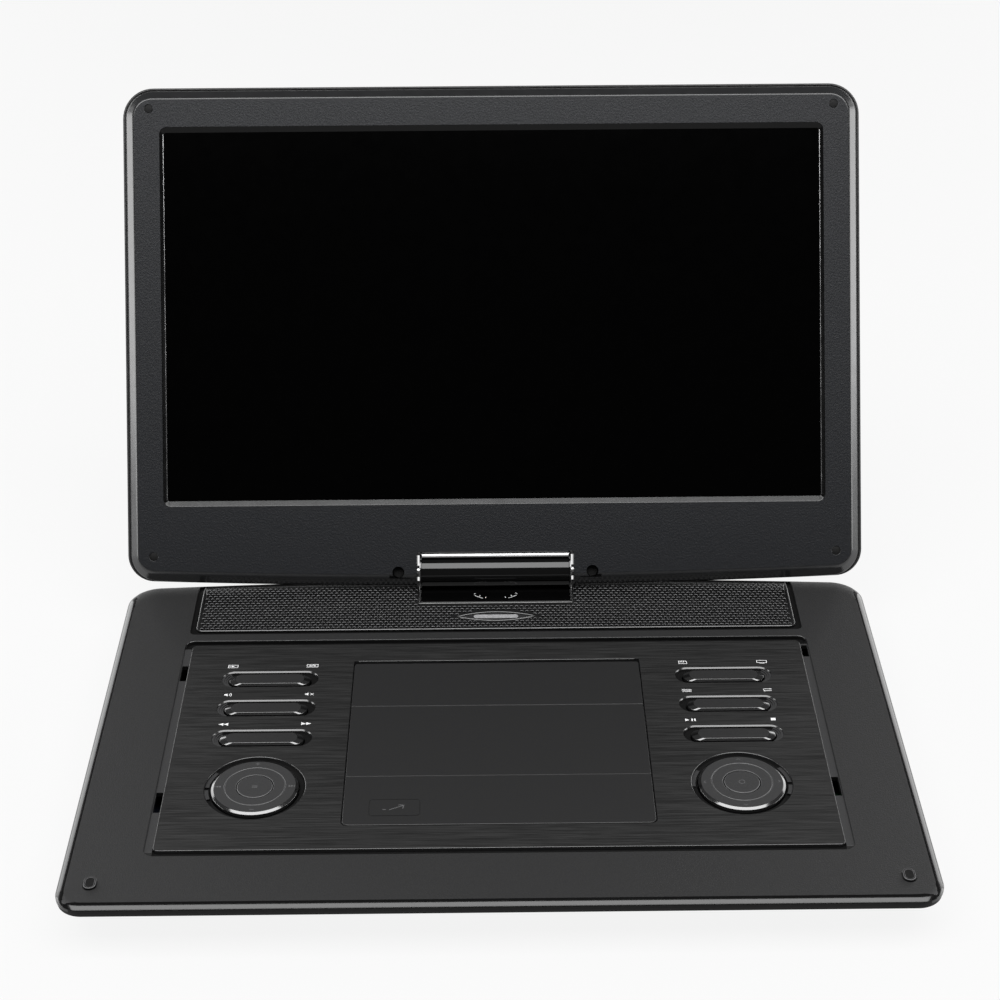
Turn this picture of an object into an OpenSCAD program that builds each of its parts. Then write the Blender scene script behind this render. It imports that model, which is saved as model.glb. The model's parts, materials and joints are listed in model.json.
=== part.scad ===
// Portable DVD player with a swivelling, tilting screen.
// X runs across the player, Y runs to the back and Z is up. The origin is on the table,
// under the middle of the open player. Heights given as "below the deck" count down
// from the flat top of the base.

/* [Base] */
// Width of the base across its rim
base_w = 385; // [380:1:390]
// Length of the base from its front rim to the middle of its rear edge
base_l = 265.8; // [264:0.2:270]
// Height of the deck above the table
deck_h = 26.5; // [26:0.5:29]
// Width of the sloping rim round the deck
rim_run = 4; // [2:0.2:5]
// Depth of the upper half of the case
top_case_h = 3.2; // [3.2:0.1:4]
// How far the rear edge bows out at its middle
rear_bow = 6.5; // [3:0.5:8]
// Radius of the two front corners
front_corner_r = 12.5; // [10:0.5:16]
// Radius of the two rear corners
rear_corner_r = 16; // [12:0.5:20]
// Height of the rubber feet
foot_h = 2; // [1:0.5:3]
// Radius of the rubber feet
foot_r = 7; // [5:0.5:8]

/* [Control panel] */
// Width of the brushed panel
panel_w = 308; // [300:1:310]
// Distance from the deck's front edge to the panel
panel_front = 34.2; // [33:0.1:35]
// Length of the panel from front to back
panel_l = 163; // [160:0.2:164]
// Width of the groove round the panel
panel_groove = 3.7; // [3:0.1:5]

/* [Disc door] */
// Width of the door
door_w = 142; // [140:1:144]
// Length of the door from front to back
door_l = 129.7; // [128:0.1:131]
// Distance from the deck's front edge to the door
door_front = 51; // [50.5:0.1:52]
// Largest angle that the door opens to
door_opening_angle = 75; // [60:1:80]

/* [Keys] */
// Distance from the middle of the player to the middle of each key
key_x = 112.4; // [111:0.2:114]
// Distance between one rocker key and the next
key_pitch = 24.55; // [23:0.05:26]
// Length of a rocker key
key_l = 40; // [36:1:42]
// Width of a rocker key
key_w = 9; // [8:0.5:10]
// Outer radius of a round pad
pad_r = 20.2; // [18:0.2:20.2]
// Radius of the button in the middle of a pad
pad_button_r = 8.3; // [7:0.1:8.3]
// How far keys and pads stand above the deck
key_stand = 0.4; // [0.2:0.1:0.6]

/* [Screen] */
// Width of the screen housing
lid_w = 387; // [385:1:390]
// Distance from the tilt axis to the top edge of the housing
lid_h = 255.15; // [254:0.05:257]
// Thickness of the screen housing
lid_t = 13.6; // [13.6:0.2:14.4]
// Width of the picture
lcd_w = 344.2; // [340:0.1:346]
// Height of the picture
lcd_h = 193.5; // [190:0.1:195]
// Distance from the tilt axis to the middle of the picture
lcd_rise = 134.7; // [134:0.1:136]
// Angle of the screen behind the vertical, as it stands
lean = 28.9; // [10:0.1:40]

/* [Hinge] */
// Distance from the deck's front edge to the tilt and swivel axes
axis_back = 253.5; // [253:0.1:254]
// Height of the tilt axis above the deck
axis_rise = 8; // [8:0.1:9]
// Radius of the hinge barrel
barrel_r = 10.2; // [9.5:0.1:10.2]
// Length of the hinge barrel
barrel_l = 79.6; // [76:0.2:80]
// Radius of the swivel post
post_r = 4.8; // [4.4:0.1:4.8]
// Radius of the tilt shafts
shaft_r = 3; // [2.5:0.1:3]

/* [Hidden] */
$fn = 64;
hull_fn = 32;
eps = 0.01;
corner_steps = 6;
bow_steps = 8;

// The deck's own frame: its origin is the middle of the deck's front edge.
deck_front_y = -188.2;
base_rear = base_l - rim_run;
rim_drop = 2.9;
floor_z = -(deck_h - foot_h);
case_wall = 2.2;
floor_in_z = floor_z + case_wall;
band_z = -5.2;
undercut = 35;
side_x = base_w / 2 - 0.5;
side_in_x = side_x - case_wall;

// Recesses in the deck
panel_recess = 2.2;
panel_t = 2;
panel_top_z = panel_t - panel_recess;
slot_w = panel_groove - 0.5;
left_slots = [[62.3, 77.1], [166.8, 179.9]];
right_slots = [[70, 84], [183.5, 193.5]];
grille_recess = 1.5;
grille_t = 1.3;
grille_front = 210.4;
grille_gap = 3.9;
grille_w = 307;
grille_rear_inset = 4.5;
badge_l = 39.6;
badge_w = 8;
badge_y = 221.9;
badge_recess = 0.8;

// Disc well and door
door_r = 3;
door_t = 1.5;
door_gap = 0.4;
door_rear_gap = 1.1;
door_swing_l = 6;
door_rear = door_front + door_l;
door_axis_y = door_rear - 2.2;
door_axis_z = -3.2;
door_roll_r = 2;
knuckle_r = 1.4;
door_pin_r = 0.8;
pin_bore_r = 0.85;
knuckle_x = [50, 60];
pin_x = [36, 66];
crease_y = [86.8, 142.7];
crease_w = 0.6;
crease_d = 0.3;
well_floor_z = -10.5;
well_t = 1.2;
well_side = 2;
ledge = 2;
disc_y = door_front + door_l / 2;
disc_space_r = 61.2;
disc_step_z = -5.5;
latch_x = -47.5;
latch_w = 8;
catch_z = -6.5;

// Disc drive
hub_r = 14.5;
hub_top_z = -7.4;
hub_t = 2;
pilot_r = 7.35;
pilot_h = 2.6;
spindle_r = 1;
motor_r = 12.5;
plate_z = -14;
plate_t = 1.2;
rail_r = 1.5;
rail_x = 17.5;
rail_z = -14.6;
rail_y = [126, 189.5];
sled_half_l = 9;
sled_half_w = 20.5;
sled_z = [-16.6, -12];
sled_park = 23.5;
sled_y = disc_y + sled_park;
screw_x = 25.5;
screw_z = -15.6;
screw_r = 1.2;
running = 0.06;

// Keys and pads
key_y = [for (i = [0:2]) 117.2 + i * key_pitch];
key_hole_l = 48;
key_hole_w = 13.7;
key_hole_shift = 0.6;
key_gap = 0.4;
key_flange_z = -4.8;
key_flange_t = 1.2;
key_bevel = 1.6;
key_pivot_z = -4;
stub_r = 0.7;
pad_y = 79.4;
pad_hole_r = 23.2;
pad_line_r = 14;
pad_flange_r = 21.8;
pad_flange_z = -4.9;
dome_z = [-7.8, -6.4];
dome_r = [9, 11];
board_top_z = -8.2;
board_t = 1.6;

// Ports, in the right-hand wall
pcb_top_z = -16.6;
port_z = -13.6;
port_r = 4;
plug_r = 1.8;
plug_depth = 14;
headphone_y = 62;
av_y = 78;
usb_y = 100;
card_y = 132;
switch_y = 166;
switch_travel = 4;
dc_y = 196;
dc_bore_r = 2.75;

// Screws
screw_spots = [[-176, 40], [176, 40], [-176, 215], [176, 215], [-60, 202], [60, 202]];
foot_spots = [[-150, 62], [150, 62], [-150, 246], [150, 246]];
board_posts = [[-24.5, 60], [24.5, 60], [-24.5, 176.5], [24.5, 176.5]];
damper_spots = [[-25.5, 100], [33.5, 100], [-25.5, 188], [33.5, 188]];

// Screen housing: its own frame has X across, Y up the screen and Z towards the viewer,
// with the origin in the middle of the tilt axis.
lid_half_t = lid_t / 2;
lid_split = 1.2;
lid_lip = 2;
lid_low_corner = 4.05;
lid_low_middle = 7.5;
lid_top_r = 16;
lid_low_r = 14;
lid_wall_front = 1.6;
lid_wall_back = 2;
notch_r = barrel_r + 0.4;
notch_l = barrel_l + 2.8;
notch_step = 0.2;
open_w = lcd_w + 3.4;
open_h = lcd_h + 5.2;
open_r = 4;
lid_side_in = 5.5;
lid_cavity_low = 12;
lcd_glass_t = 1.6;
lcd_front_z = lid_half_t - lid_wall_front;
corner_screws = [[-179.3, 243.7], [179.3, 243.7], [-179.3, 9.3], [179.3, 9.3]];
low_screws = [[-51, -0.3], [51, -0.3]];
bracket_x = 42.9;
bracket_w = 4.1;
bracket_r = 4.4;
knuckle_room = bracket_r + 0.2;
corner_bore_r = 2.25;
head_seat_z = 3.4;
plug_seat_z = 4.6;
clip_x = [15, 39];
bracket_half_w = 32;
swivel_pocket_z = -10.5;
retainer_r = 6.2;

case_black = "#2b2b2d";
gloss_black = "#0c0c0d";
steel = "#a7a9ac";
board_green = "#1d4a32";
rubber_black = "#1a1a1a";

// ---- frames and shared shapes ----

module on_deck() {
    translate([0, deck_front_y, deck_h]) children();
}

module on_lid() {
    on_deck() translate([0, axis_back, axis_rise]) rotate([90 - lean, 0, 0]) children();
}

module both_sides() {
    children();
    mirror([1, 0, 0]) children();
}

// A box from its lowest and highest corners
module span(low, high) {
    translate(low) cube(high - low);
}

// A cylinder along X from x0 to x1
module rod_x(r, x0, x1) {
    translate([x0, 0, 0]) rotate([0, 90, 0]) cylinder(r = r, h = x1 - x0);
}

// A cylinder along Y from y0 to y1
module rod_y(r, y0, y1) {
    translate([0, y0, 0]) rotate([-90, 0, 0]) cylinder(r = r, h = y1 - y0);
}

module rounded_rect(w, l, r) {
    square([w - 2 * r, l], center = true);
    square([w, l - 2 * r], center = true);
    for (x = [-1, 1], y = [-1, 1]) translate([x * (w / 2 - r), y * (l / 2 - r)]) circle(r = r);
}

module stadium(l, w) {
    square([l - w, w], center = true);
    for (x = [-1, 1]) translate([x * (l - w) / 2, 0]) circle(r = w / 2);
}

function arc_points(cx, cy, r, a0) =
    [for (i = [0:corner_steps]) let (a = a0 + 90 * i / corner_steps) [cx + r * cos(a), cy + r * sin(a)]];

// Outline of the base, set in from the rim by a distance on each edge
module base_outline(side, front, rear) {
    hw = base_w / 2 - side;
    y0 = front - rim_run;
    y1 = base_rear - rear;
    rf = front_corner_r - min(side, front, front_corner_r - 2);
    rr = rear_corner_r - min(side, rear);
    edge = hw - rr;
    y_corner = y1 - rear_bow * pow(edge / hw, 2);
    bow = [for (i = [1:bow_steps - 1]) let (x = edge * (1 - 2 * i / bow_steps))
        [x, y1 - rear_bow * pow(x / hw, 2)]];
    polygon(concat(
        arc_points(hw - rf, y0 + rf, rf, -90),
        arc_points(edge, y_corner - rr, rr, 0),
        bow,
        arc_points(-edge, y_corner - rr, rr, 90),
        arc_points(rf - hw, y0 + rf, rf, 180)
    ));
}

module base_plate(z, side, front, rear) {
    translate([0, 0, z]) linear_extrude(eps) base_outline(side, front, rear);
}

// The upper case's outer form: a flat deck, a sloping rim and a rolled-off rear edge
module deck_form() {
    hull() {
        base_plate(-eps, rim_run, rim_run, 14);
        base_plate(-0.5, rim_run - 0.5, rim_run - 0.5, 8);
        base_plate(-1.2, rim_run - 1.5, rim_run - 1.5, 4);
        base_plate(-2.1, rim_run - 2.8, rim_run - 2.8, 1.2);
        base_plate(-rim_drop, 0, 0, 0.2);
        base_plate(-top_case_h, 0, 0, 0);
    }
}

// Room behind the door for its rolled rear edge to swing down
module door_swing_room() {
    half_w = door_w / 2 + door_gap;
    span([-half_w, door_rear - door_swing_l, disc_step_z], [half_w, door_rear + door_rear_gap, 0]);
}

module door_opening_plan() {
    w = door_w + 2 * door_gap;
    translate([0, door_front - door_gap + door_l / 4]) rounded_rect(w, door_l / 2, door_r);
    translate([-w / 2, door_front + door_l / 4]) square([w, door_l * 3 / 4 + door_rear_gap]);
}

// ---- base: case and trim ----

// The wedge of space under the case's undercut front, set up from its slope by a distance
module front_wedge(up) {
    reach = 80;
    translate([0, 0.5 - rim_run, band_z]) rotate([-undercut, 0, 0])
        span([-base_w, -reach, -reach], [base_w, reach, up]);
}

module tub(inset, z0, z1, up) {
    difference() {
        translate([0, 0, z0]) linear_extrude(z1 - z0) base_outline(inset, inset, inset);
        front_wedge(up);
    }
}

module bottom_case() {
    color(case_black) on_deck() difference() {
        union() {
            difference() {
                tub(0.5, floor_z, -top_case_h, 0);
                tub(0.5 + case_wall, floor_in_z, 0, case_wall);
            }
            for (p = screw_spots) translate(p) translate([0, 0, floor_in_z - 1])
                cylinder(r = 4, h = -6.4 - floor_in_z + 1);
            for (p = damper_spots) translate(p) translate([0, 0, floor_in_z - 1])
                cylinder(r = 3, h = -16 - floor_in_z + 1);
        }
        for (p = screw_spots) translate(p) {
            translate([0, 0, floor_z - 1]) cylinder(r = 1.7, h = deck_h);
            translate([0, 0, floor_z - 1]) cylinder(r = 3.2, h = 3);
        }
        translate([side_in_x - 1, 0, port_z]) rotate([0, 90, 0]) for (y = [headphone_y, av_y, dc_y])
            translate([0, y, 0]) cylinder(r = port_r + 0.1, h = 5);
        span([side_in_x - 1, usb_y - 7.3, port_z - 3.1], [side_x + 1, usb_y + 7.3, port_z + 3.1]);
        span([side_in_x - 1, card_y - 13.6, port_z - 2.1], [side_x + 1, card_y + 13.6, port_z + 2.1]);
        span([side_in_x - 1, switch_y - 2.5, port_z - 1.6],
             [side_x + 1, switch_y + switch_travel + 2.5, port_z + 1.6]);
        // pocket in the rear wall for the swivel's bracket and retainer
        span([-bracket_half_w - 0.4, axis_back, swivel_pocket_z],
             [bracket_half_w + 0.4, axis_back + retainer_r + 0.4, 0]);
    }
}

module panel_recess_plan() {
    translate([0, panel_front + panel_l / 2])
        rounded_rect(panel_w + 2 * panel_groove, panel_l + 2 * panel_groove, 4.7);
}

// Open slots in the floor of the groove beside the panel: from and to, on the left and on the right
module groove_slots() {
    x = panel_w / 2 + 0.2;
    for (y = left_slots) translate([-x - slot_w, y[0], -5]) cube([slot_w, y[1] - y[0], 5]);
    for (y = right_slots) translate([x, y[0], -5]) cube([slot_w, y[1] - y[0], 5]);
}

module grille_recess_plan() {
    intersection() {
        base_outline(0, 0, grille_rear_inset - 0.5);
        translate([0, grille_front - grille_gap + 50]) rounded_rect(grille_w + 2 * grille_gap - 1, 100, 3);
    }
}

module top_case() {
    color(case_black) on_deck() difference() {
        union() {
            difference() {
                deck_form();
                // the plain margins are hollowed from below
                both_sides() span([165, 20, -5], [182, 200, -1.9]);
                span([-150, 8, -5], [150, 22, -1.9]);
            }
            for (p = screw_spots) translate(p) translate([0, 0, -6.3]) cylinder(r = 3.5, h = 4.5);
            both_sides() for (p = board_posts) translate([key_x + p[0], p[1], board_top_z])
                cylinder(r = 2.5, h = -top_case_h - board_top_z + 0.5);
        }
        for (p = screw_spots) translate(p) translate([0, 0, -7]) cylinder(r = 1.2, h = 5.5);
        translate([0, 0, -panel_recess]) linear_extrude(panel_recess + 1) panel_recess_plan();
        difference() {
            translate([0, 0, -top_case_h - 1]) linear_extrude(top_case_h + 2) grille_recess_plan();
            translate([0, 0, -grille_recess]) deck_form();
        }
        span([-door_w / 2 + ledge, door_front + ledge, -5],
             [door_w / 2 - ledge, door_rear + door_rear_gap, 0]);
        door_swing_room();
        groove_slots();
        both_sides() {
            for (y = key_y) translate([key_x, y, -5]) linear_extrude(5)
                stadium(key_l + 2 * key_gap, key_w + 2 * key_gap);
            translate([key_x, pad_y, -5]) cylinder(r = pad_r + key_gap, h = 5);
            translate([115, 234, -5]) cylinder(r = 15, h = 5);
            translate([178, 12, -1]) linear_extrude(2) rotate(90) stadium(8, 5.5);
        }
        translate([0, axis_back, -5]) cylinder(r = post_r + 1.2, h = 5);
    }
}

module control_panel() {
    color("#2d2d2e") on_deck() difference() {
        translate([0, panel_front + panel_l / 2, -panel_recess]) linear_extrude(panel_t)
            rounded_rect(panel_w, panel_l, 1.5);
        translate([0, 0, -5]) linear_extrude(6) door_opening_plan();
        both_sides() {
            for (y = key_y) translate([key_x, y + key_hole_shift, -5]) linear_extrude(6)
                stadium(key_hole_l, key_hole_w);
            translate([key_x, pad_y, -5]) cylinder(r = pad_hole_r, h = 6);
        }
    }
}

module badge_plan(shrink) {
    r = (pow(badge_l / 2, 2) + pow(badge_w / 2, 2)) / badge_w;
    translate([0, badge_y]) intersection() {
        translate([0, r - badge_w / 2]) circle(r = r - shrink, $fn = 256);
        translate([0, badge_w / 2 - r]) circle(r = r - shrink, $fn = 256);
    }
}

module speaker_grille() {
    color("#2a2a2b") on_deck() difference() {
        intersection() {
            deck_form();
            translate([0, 0, -10]) linear_extrude(20) intersection() {
                base_outline(0, 0, grille_rear_inset);
                translate([0, grille_front + 50]) rounded_rect(grille_w, 100, 3);
            }
        }
        translate([0, 0, -grille_t]) deck_form();
        span([-barrel_l / 2, axis_back - 18.8, -5], [barrel_l / 2, base_rear + 5, 1]);
        translate([0, 0, -badge_recess]) linear_extrude(2) badge_plan(0);
    }
}

module grille_badge() {
    color(steel) on_deck() translate([0, 0, -badge_recess]) linear_extrude(0.5) badge_plan(0.3);
}

module hinge_plate() {
    color(gloss_black) on_deck() difference() {
        span([-barrel_l / 2 + 0.3, axis_back - 18.5, -grille_recess],
             [barrel_l / 2 - 0.3, axis_back + 4, 0.4]);
        translate([0, axis_back, -5]) cylinder(r = post_r + 0.2, h = 6);
    }
}

module rubber_feet() {
    color(rubber_black) on_deck() for (p = foot_spots) translate(p)
        translate([0, 0, -deck_h]) cylinder(r = foot_r, h = foot_h);
}

module deck_bumpers() {
    color(rubber_black) on_deck() both_sides() translate([178, 12, -1]) linear_extrude(2)
        rotate(90) stadium(8, 5.5);
}

// ---- base: electronics ----

module main_pcb() {
    color(board_green) on_deck() {
        span([80, 50, pcb_top_z - board_t], [188.6, 208, pcb_top_z]);
        span([100, 95, pcb_top_z], [122, 117, pcb_top_z + 2]);
        span([132, 100, pcb_top_z], [144, 112, pcb_top_z + 1.4]);
        span([178, 160, pcb_top_z], [186.6, 178, pcb_top_z + 5.6]);
        for (y = [60, 72, 150, 190]) translate([95, y, pcb_top_z]) cylinder(r = 4, h = 5.5);
    }
}

module keypad_boards() {
    color(board_green) on_deck() both_sides() {
        span([84, 55, board_top_z - board_t], [141, 181, board_top_z]);
        for (y = key_y, x = [-16, 16]) translate([key_x + x, y, board_top_z]) cylinder(r = 2, h = 0.9);
        // cradles that carry the keys' pivot stubs
        difference() {
            for (y = key_y, side = [-1, 1]) translate([key_x - 1.6, y + side * 6.6 - 0.7, board_top_z - eps])
                cube([3.2, 1.4, key_pivot_z - board_top_z]);
            for (y = key_y) translate([key_x, 0, key_pivot_z]) rod_y(stub_r + running, y - 8, y + 8);
        }
    }
}

module battery_pack() {
    color("#2f4f8a") on_deck() translate([-129, 100, -21.8]) linear_extrude(9.3) rounded_rect(98, 100, 4);
}

module speakers() {
    color("#3a3a3a") on_deck() both_sides() translate([115, 234, 0]) {
        rotate_extrude() polygon([
            [0, -9], [4, -9], [14.5, -5.2], [17, -5.2], [17, -top_case_h], [15.2, -top_case_h],
            [15.2, -4.6], [4.4, -7.6], [0, -7.6]
        ]);
        translate([0, 0, -16]) cylinder(r = 9, h = 8.2);
    }
}

module port_body(y) {
    span([176, y - 5.5, pcb_top_z], [side_in_x, y + 5.5, port_z + 3]);
    translate([0, y, port_z]) rod_x(port_r, side_in_x - 1, side_x - 0.4);
}

module plug_socket(y) {
    difference() {
        port_body(y);
        translate([0, y, port_z]) rod_x(plug_r, side_x - 0.4 - plug_depth, side_x + 1);
    }
}

module headphone_jack() {
    color(gloss_black) on_deck() plug_socket(headphone_y);
}

module av_jack() {
    color("#c9a227") on_deck() plug_socket(av_y);
}

module dc_jack() {
    color(gloss_black) on_deck() {
        difference() {
            port_body(dc_y);
            translate([0, dc_y, port_z]) rod_x(dc_bore_r, side_x - 10, side_x + 1);
        }
        translate([0, dc_y, port_z]) rod_x(0.85, side_x - 10.5, side_x - 1.6);
    }
}

module usb_port() {
    color(steel) on_deck() {
        difference() {
            span([176, usb_y - 7.2, port_z - 3], [side_x - 0.4, usb_y + 7.2, port_z + 3]);
            span([178, usb_y - 6.4, port_z - 2.4], [side_x + 1, usb_y + 6.4, port_z + 2.4]);
        }
        span([177.5, usb_y - 5.6, port_z + 0.2], [186.6, usb_y + 5.6, port_z + 1.8]);
    }
}

module card_slot() {
    color(steel) on_deck() difference() {
        span([160, card_y - 13.5, port_z - 2], [side_x - 0.4, card_y + 13.5, port_z + 2]);
        span([162, card_y - 12.3, port_z - 1.2], [side_x + 1, card_y + 12.3, port_z + 1.2]);
    }
}

module power_knob() {
    color(gloss_black) on_deck() {
        span([187, switch_y - 2, port_z - 1.3], [side_x + 1.2, switch_y + 2, port_z + 1.3]);
        span([187, switch_y - 3.4, port_z - 2.2], [side_in_x - 0.3, switch_y + 3.4, port_z + 2.2]);
    }
}

// ---- disc well, door and latch ----

module door_ear() {
    translate([0, door_axis_y, door_axis_z]) rod_x(knuckle_r, 0, 5.6);
    span([0, door_axis_y - knuckle_r, well_floor_z], [5.6, door_axis_y + knuckle_r, door_axis_z]);
}

module disc_well() {
    color("#1f1f20") on_deck() difference() {
        union() {
            difference() {
                span([-door_w / 2 - well_side, door_front - 1, well_floor_z - well_t],
                     [door_w / 2 + well_side, door_rear + 3.8, -top_case_h]);
                span([-door_w / 2 + ledge, door_front + ledge, disc_step_z],
                     [door_w / 2 - ledge, door_rear + door_rear_gap, 0]);
                door_swing_room();
                translate([0, disc_y, well_floor_z]) cylinder(r = disc_space_r, h = 10);
                // finger notches beside the disc
                for (x = [-1, 1]) translate([x * 50, disc_y - 45, well_floor_z + 2]) cylinder(r = 14, h = 10);
            }
            both_sides() {
                translate([knuckle_x[0] - 6, 0, 0]) door_ear();
                translate([knuckle_x[1] + 0.4, 0, 0]) door_ear();
            }
        }
        // window for the turntable and the pickup
        span([-17, disc_y - 16, well_floor_z - 3], [17, disc_y + 48, well_floor_z + 1]);
        span([-9, disc_y, well_floor_z - 3], [9, door_rear - 0.6, well_floor_z + 3]);
        // slot for the latch
        span([latch_x - latch_w / 2 - 0.5, door_front - 2, -7.2],
             [latch_x + latch_w / 2 + 0.5, door_front + 6, -top_case_h + 1]);
        both_sides() translate([0, door_axis_y, door_axis_z]) rod_x(door_pin_r, pin_x[0], pin_x[1] + 0.1);
    }
}

module door_pins() {
    color(steel) on_deck() both_sides() translate([0, door_axis_y, door_axis_z])
        rod_x(door_pin_r, pin_x[0] + 0.4, pin_x[1]);
}

module door_spring() {
    color(steel) on_deck() translate([0, door_axis_y, door_axis_z]) difference() {
        union() {
            rod_x(1.35, 37.5, 41.5);
            translate([37.8, 0, -1.05]) rod_y(0.25, -8, 0);
        }
        rod_x(door_pin_r, 37, 42);
    }
}

module disc_door() {
    plate_y1 = door_rear - door_roll_r;
    color("#38383a") on_deck() difference() {
        union() {
            translate([0, door_front + 30, panel_top_z - door_t]) linear_extrude(door_t)
                rounded_rect(door_w, 60, door_r);
            span([-door_w / 2, door_front + door_r, panel_top_z - door_t],
                 [door_w / 2, plate_y1, panel_top_z]);
            // rolled rear edge
            intersection() {
                translate([0, plate_y1, panel_top_z - door_roll_r])
                    rod_x(door_roll_r, -door_w / 2, door_w / 2);
                span([-door_w, plate_y1 - 1, panel_top_z - door_t], [door_w, door_rear + 1, 1]);
            }
            both_sides() {
                translate([0, door_axis_y, door_axis_z]) rod_x(knuckle_r, knuckle_x[0], knuckle_x[1]);
                span([knuckle_x[0], door_axis_y - knuckle_r, door_axis_z],
                     [knuckle_x[1], door_axis_y + knuckle_r, panel_top_z - door_t + eps]);
            }
            // catch rib and stiffening ribs
            span([latch_x - latch_w / 2, door_front + 3.6, catch_z],
                 [latch_x + latch_w / 2, door_front + 5, panel_top_z - 1]);
            span([latch_x - latch_w / 2, door_front + 2.6, catch_z],
                 [latch_x + latch_w / 2, door_front + 3.7, catch_z + 0.8]);
            for (x = [-66, 65]) span([x, door_front + 8, panel_top_z - door_t - 1],
                                     [x + 1, door_rear - 8, panel_top_z - 1]);
        }
        for (y = crease_y) span([-door_w, y - crease_w / 2, panel_top_z - crease_d],
                                [door_w, y + crease_w / 2, 1]);
        both_sides() translate([0, door_axis_y, door_axis_z])
            rod_x(pin_bore_r, knuckle_x[0] - 1, knuckle_x[1] + 1);
    }
}

module door_latch() {
    color("#d8d8d2") on_deck() {
        span([latch_x - latch_w / 2, door_front - 13, -5.8], [latch_x + latch_w / 2, door_front + 2.4, -4.2]);
        span([latch_x - 2, door_front - 13, -9], [latch_x + 2, door_front - 11.5, -5]);
    }
}

// ---- disc drive ----

module traverse_deck() {
    color(steel) on_deck() difference() {
        union() {
            span([-30, 94, plate_z], [38, 194, plate_z + plate_t]);
            for (x = [-rail_x, rail_x]) {
                span([x - 2.6, rail_y[0], -17], [x + 2.6, 129.4, plate_z + 1]);
                span([x - 2.6, 186, -17], [x + 2.6, rail_y[1], plate_z + 1]);
            }
            span([screw_x - 2.5, 186, -17.8], [screw_x + 2.5, rail_y[1], plate_z + 1]);
        }
        span([-sled_half_w - 2, 129.4, -20], [screw_x + 4.5, 186, 0]);
        span([screw_x - 4, 111, -14.5], [screw_x + 4, 130, 0]);
        translate([0, disc_y, -20]) cylinder(r = 5, h = 10);
        for (x = [-rail_x, rail_x]) translate([x, 0, rail_z]) rod_y(rail_r, 120, 200);
        translate([screw_x, 0, screw_z]) rod_y(screw_r + running, 180, 200);
        for (p = damper_spots) translate(p) translate([0, 0, -20]) cylinder(r = 2.6, h = 10);
    }
}

module deck_dampers() {
    color(rubber_black) on_deck() for (p = damper_spots) translate(p) {
        translate([0, 0, -16]) cylinder(r = 4, h = 16 + plate_z);
        translate([0, 0, -15]) cylinder(r = 2.6, h = 3);
        translate([0, 0, plate_z + plate_t]) cylinder(r = 4, h = 0.8);
    }
}

module sled_rails() {
    color(steel) on_deck() for (x = [-rail_x, rail_x]) translate([x, 0, rail_z])
        rod_y(rail_r, rail_y[0], rail_y[1]);
}

module spindle_motor() {
    color(steel) on_deck() translate([0, disc_y, -19.5]) difference() {
        union() {
            cylinder(r = motor_r, h = 5.5);
            cylinder(r = 4.5, h = 7);
        }
        translate([0, 0, 0.5]) cylinder(r = spindle_r + running, h = 8);
    }
}

module sled_motor() {
    color(steel) on_deck() translate([screw_x, 0, screw_z]) difference() {
        rod_y(3.5, 112, 126);
        rod_y(screw_r + running, 119, 127);
    }
}

module disc_hub() {
    color("#c9cbcd") on_deck() translate([0, disc_y, 0]) {
        translate([0, 0, hub_top_z - hub_t]) cylinder(r = hub_r, h = hub_t);
        translate([0, 0, hub_top_z]) cylinder(r = pilot_r, h = pilot_h);
        translate([0, 0, -12.2]) cylinder(r = 3.6, h = 3);
        translate([0, 0, -18.6]) cylinder(r = spindle_r, h = 7);
    }
}

module pickup_sled() {
    color("#4a4a4c") on_deck() translate([0, sled_y, 0]) difference() {
        union() {
            span([-sled_half_w, -sled_half_l, sled_z[0]], [sled_half_w, sled_half_l, sled_z[1]]);
            translate([0, 0, sled_z[1]]) cylinder(r = 5.5, h = 2.1);
            span([sled_half_w - 1, -4.5, -17.6], [28, 4.5, -13.8]);
        }
        for (x = [-rail_x, rail_x]) translate([x, 0, rail_z]) rod_y(rail_r + 0.05, -20, 20);
        translate([screw_x, 0, screw_z]) rod_y(screw_r + running, -20, 20);
        translate([0, 0, sled_z[1] + 1.6]) cylinder(r = 3, h = 1);
    }
}

module pickup_lens() {
    color("#8fb4d8") on_deck() translate([0, sled_y, sled_z[1] + 1.6]) intersection() {
        cylinder(r = 3, h = 1.4);
        translate([0, 0, -3]) sphere(r = 4.4);
    }
}

module lead_screw() {
    color(steel) on_deck() translate([screw_x, 0, screw_z]) {
        rod_y(screw_r, 120, 189);
    }
}

// ---- keys and pads ----

module rocker_key(side, row) {
    color("#1c1c1d") on_deck() translate([side * key_x, key_y[row], 0]) {
        hull() {
            translate([0, 0, key_stand - eps]) linear_extrude(eps)
                stadium(key_l - 7, key_w - 3, $fn = hull_fn);
            translate([0, 0, key_stand - key_bevel]) linear_extrude(eps) stadium(key_l, key_w, $fn = hull_fn);
        }
        translate([0, 0, key_flange_z - 0.2]) linear_extrude(key_stand - key_bevel - key_flange_z + 0.2)
            stadium(key_l, key_w);
        translate([0, 0, key_flange_z - key_flange_t]) linear_extrude(key_flange_t)
            stadium(key_l + 3, key_w + 2);
        translate([0, 0, key_pivot_z]) rod_y(stub_r, -7.2, 7.2);
    }
}

module pad_dome(side) {
    color("#6d6d6d") on_deck() translate([side * key_x, pad_y, 0]) difference() {
        translate([0, 0, dome_z[0]]) cylinder(r = dome_r[1], h = dome_z[1] - dome_z[0]);
        translate([0, 0, -10]) cylinder(r = dome_r[0], h = 10);
    }
}

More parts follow.
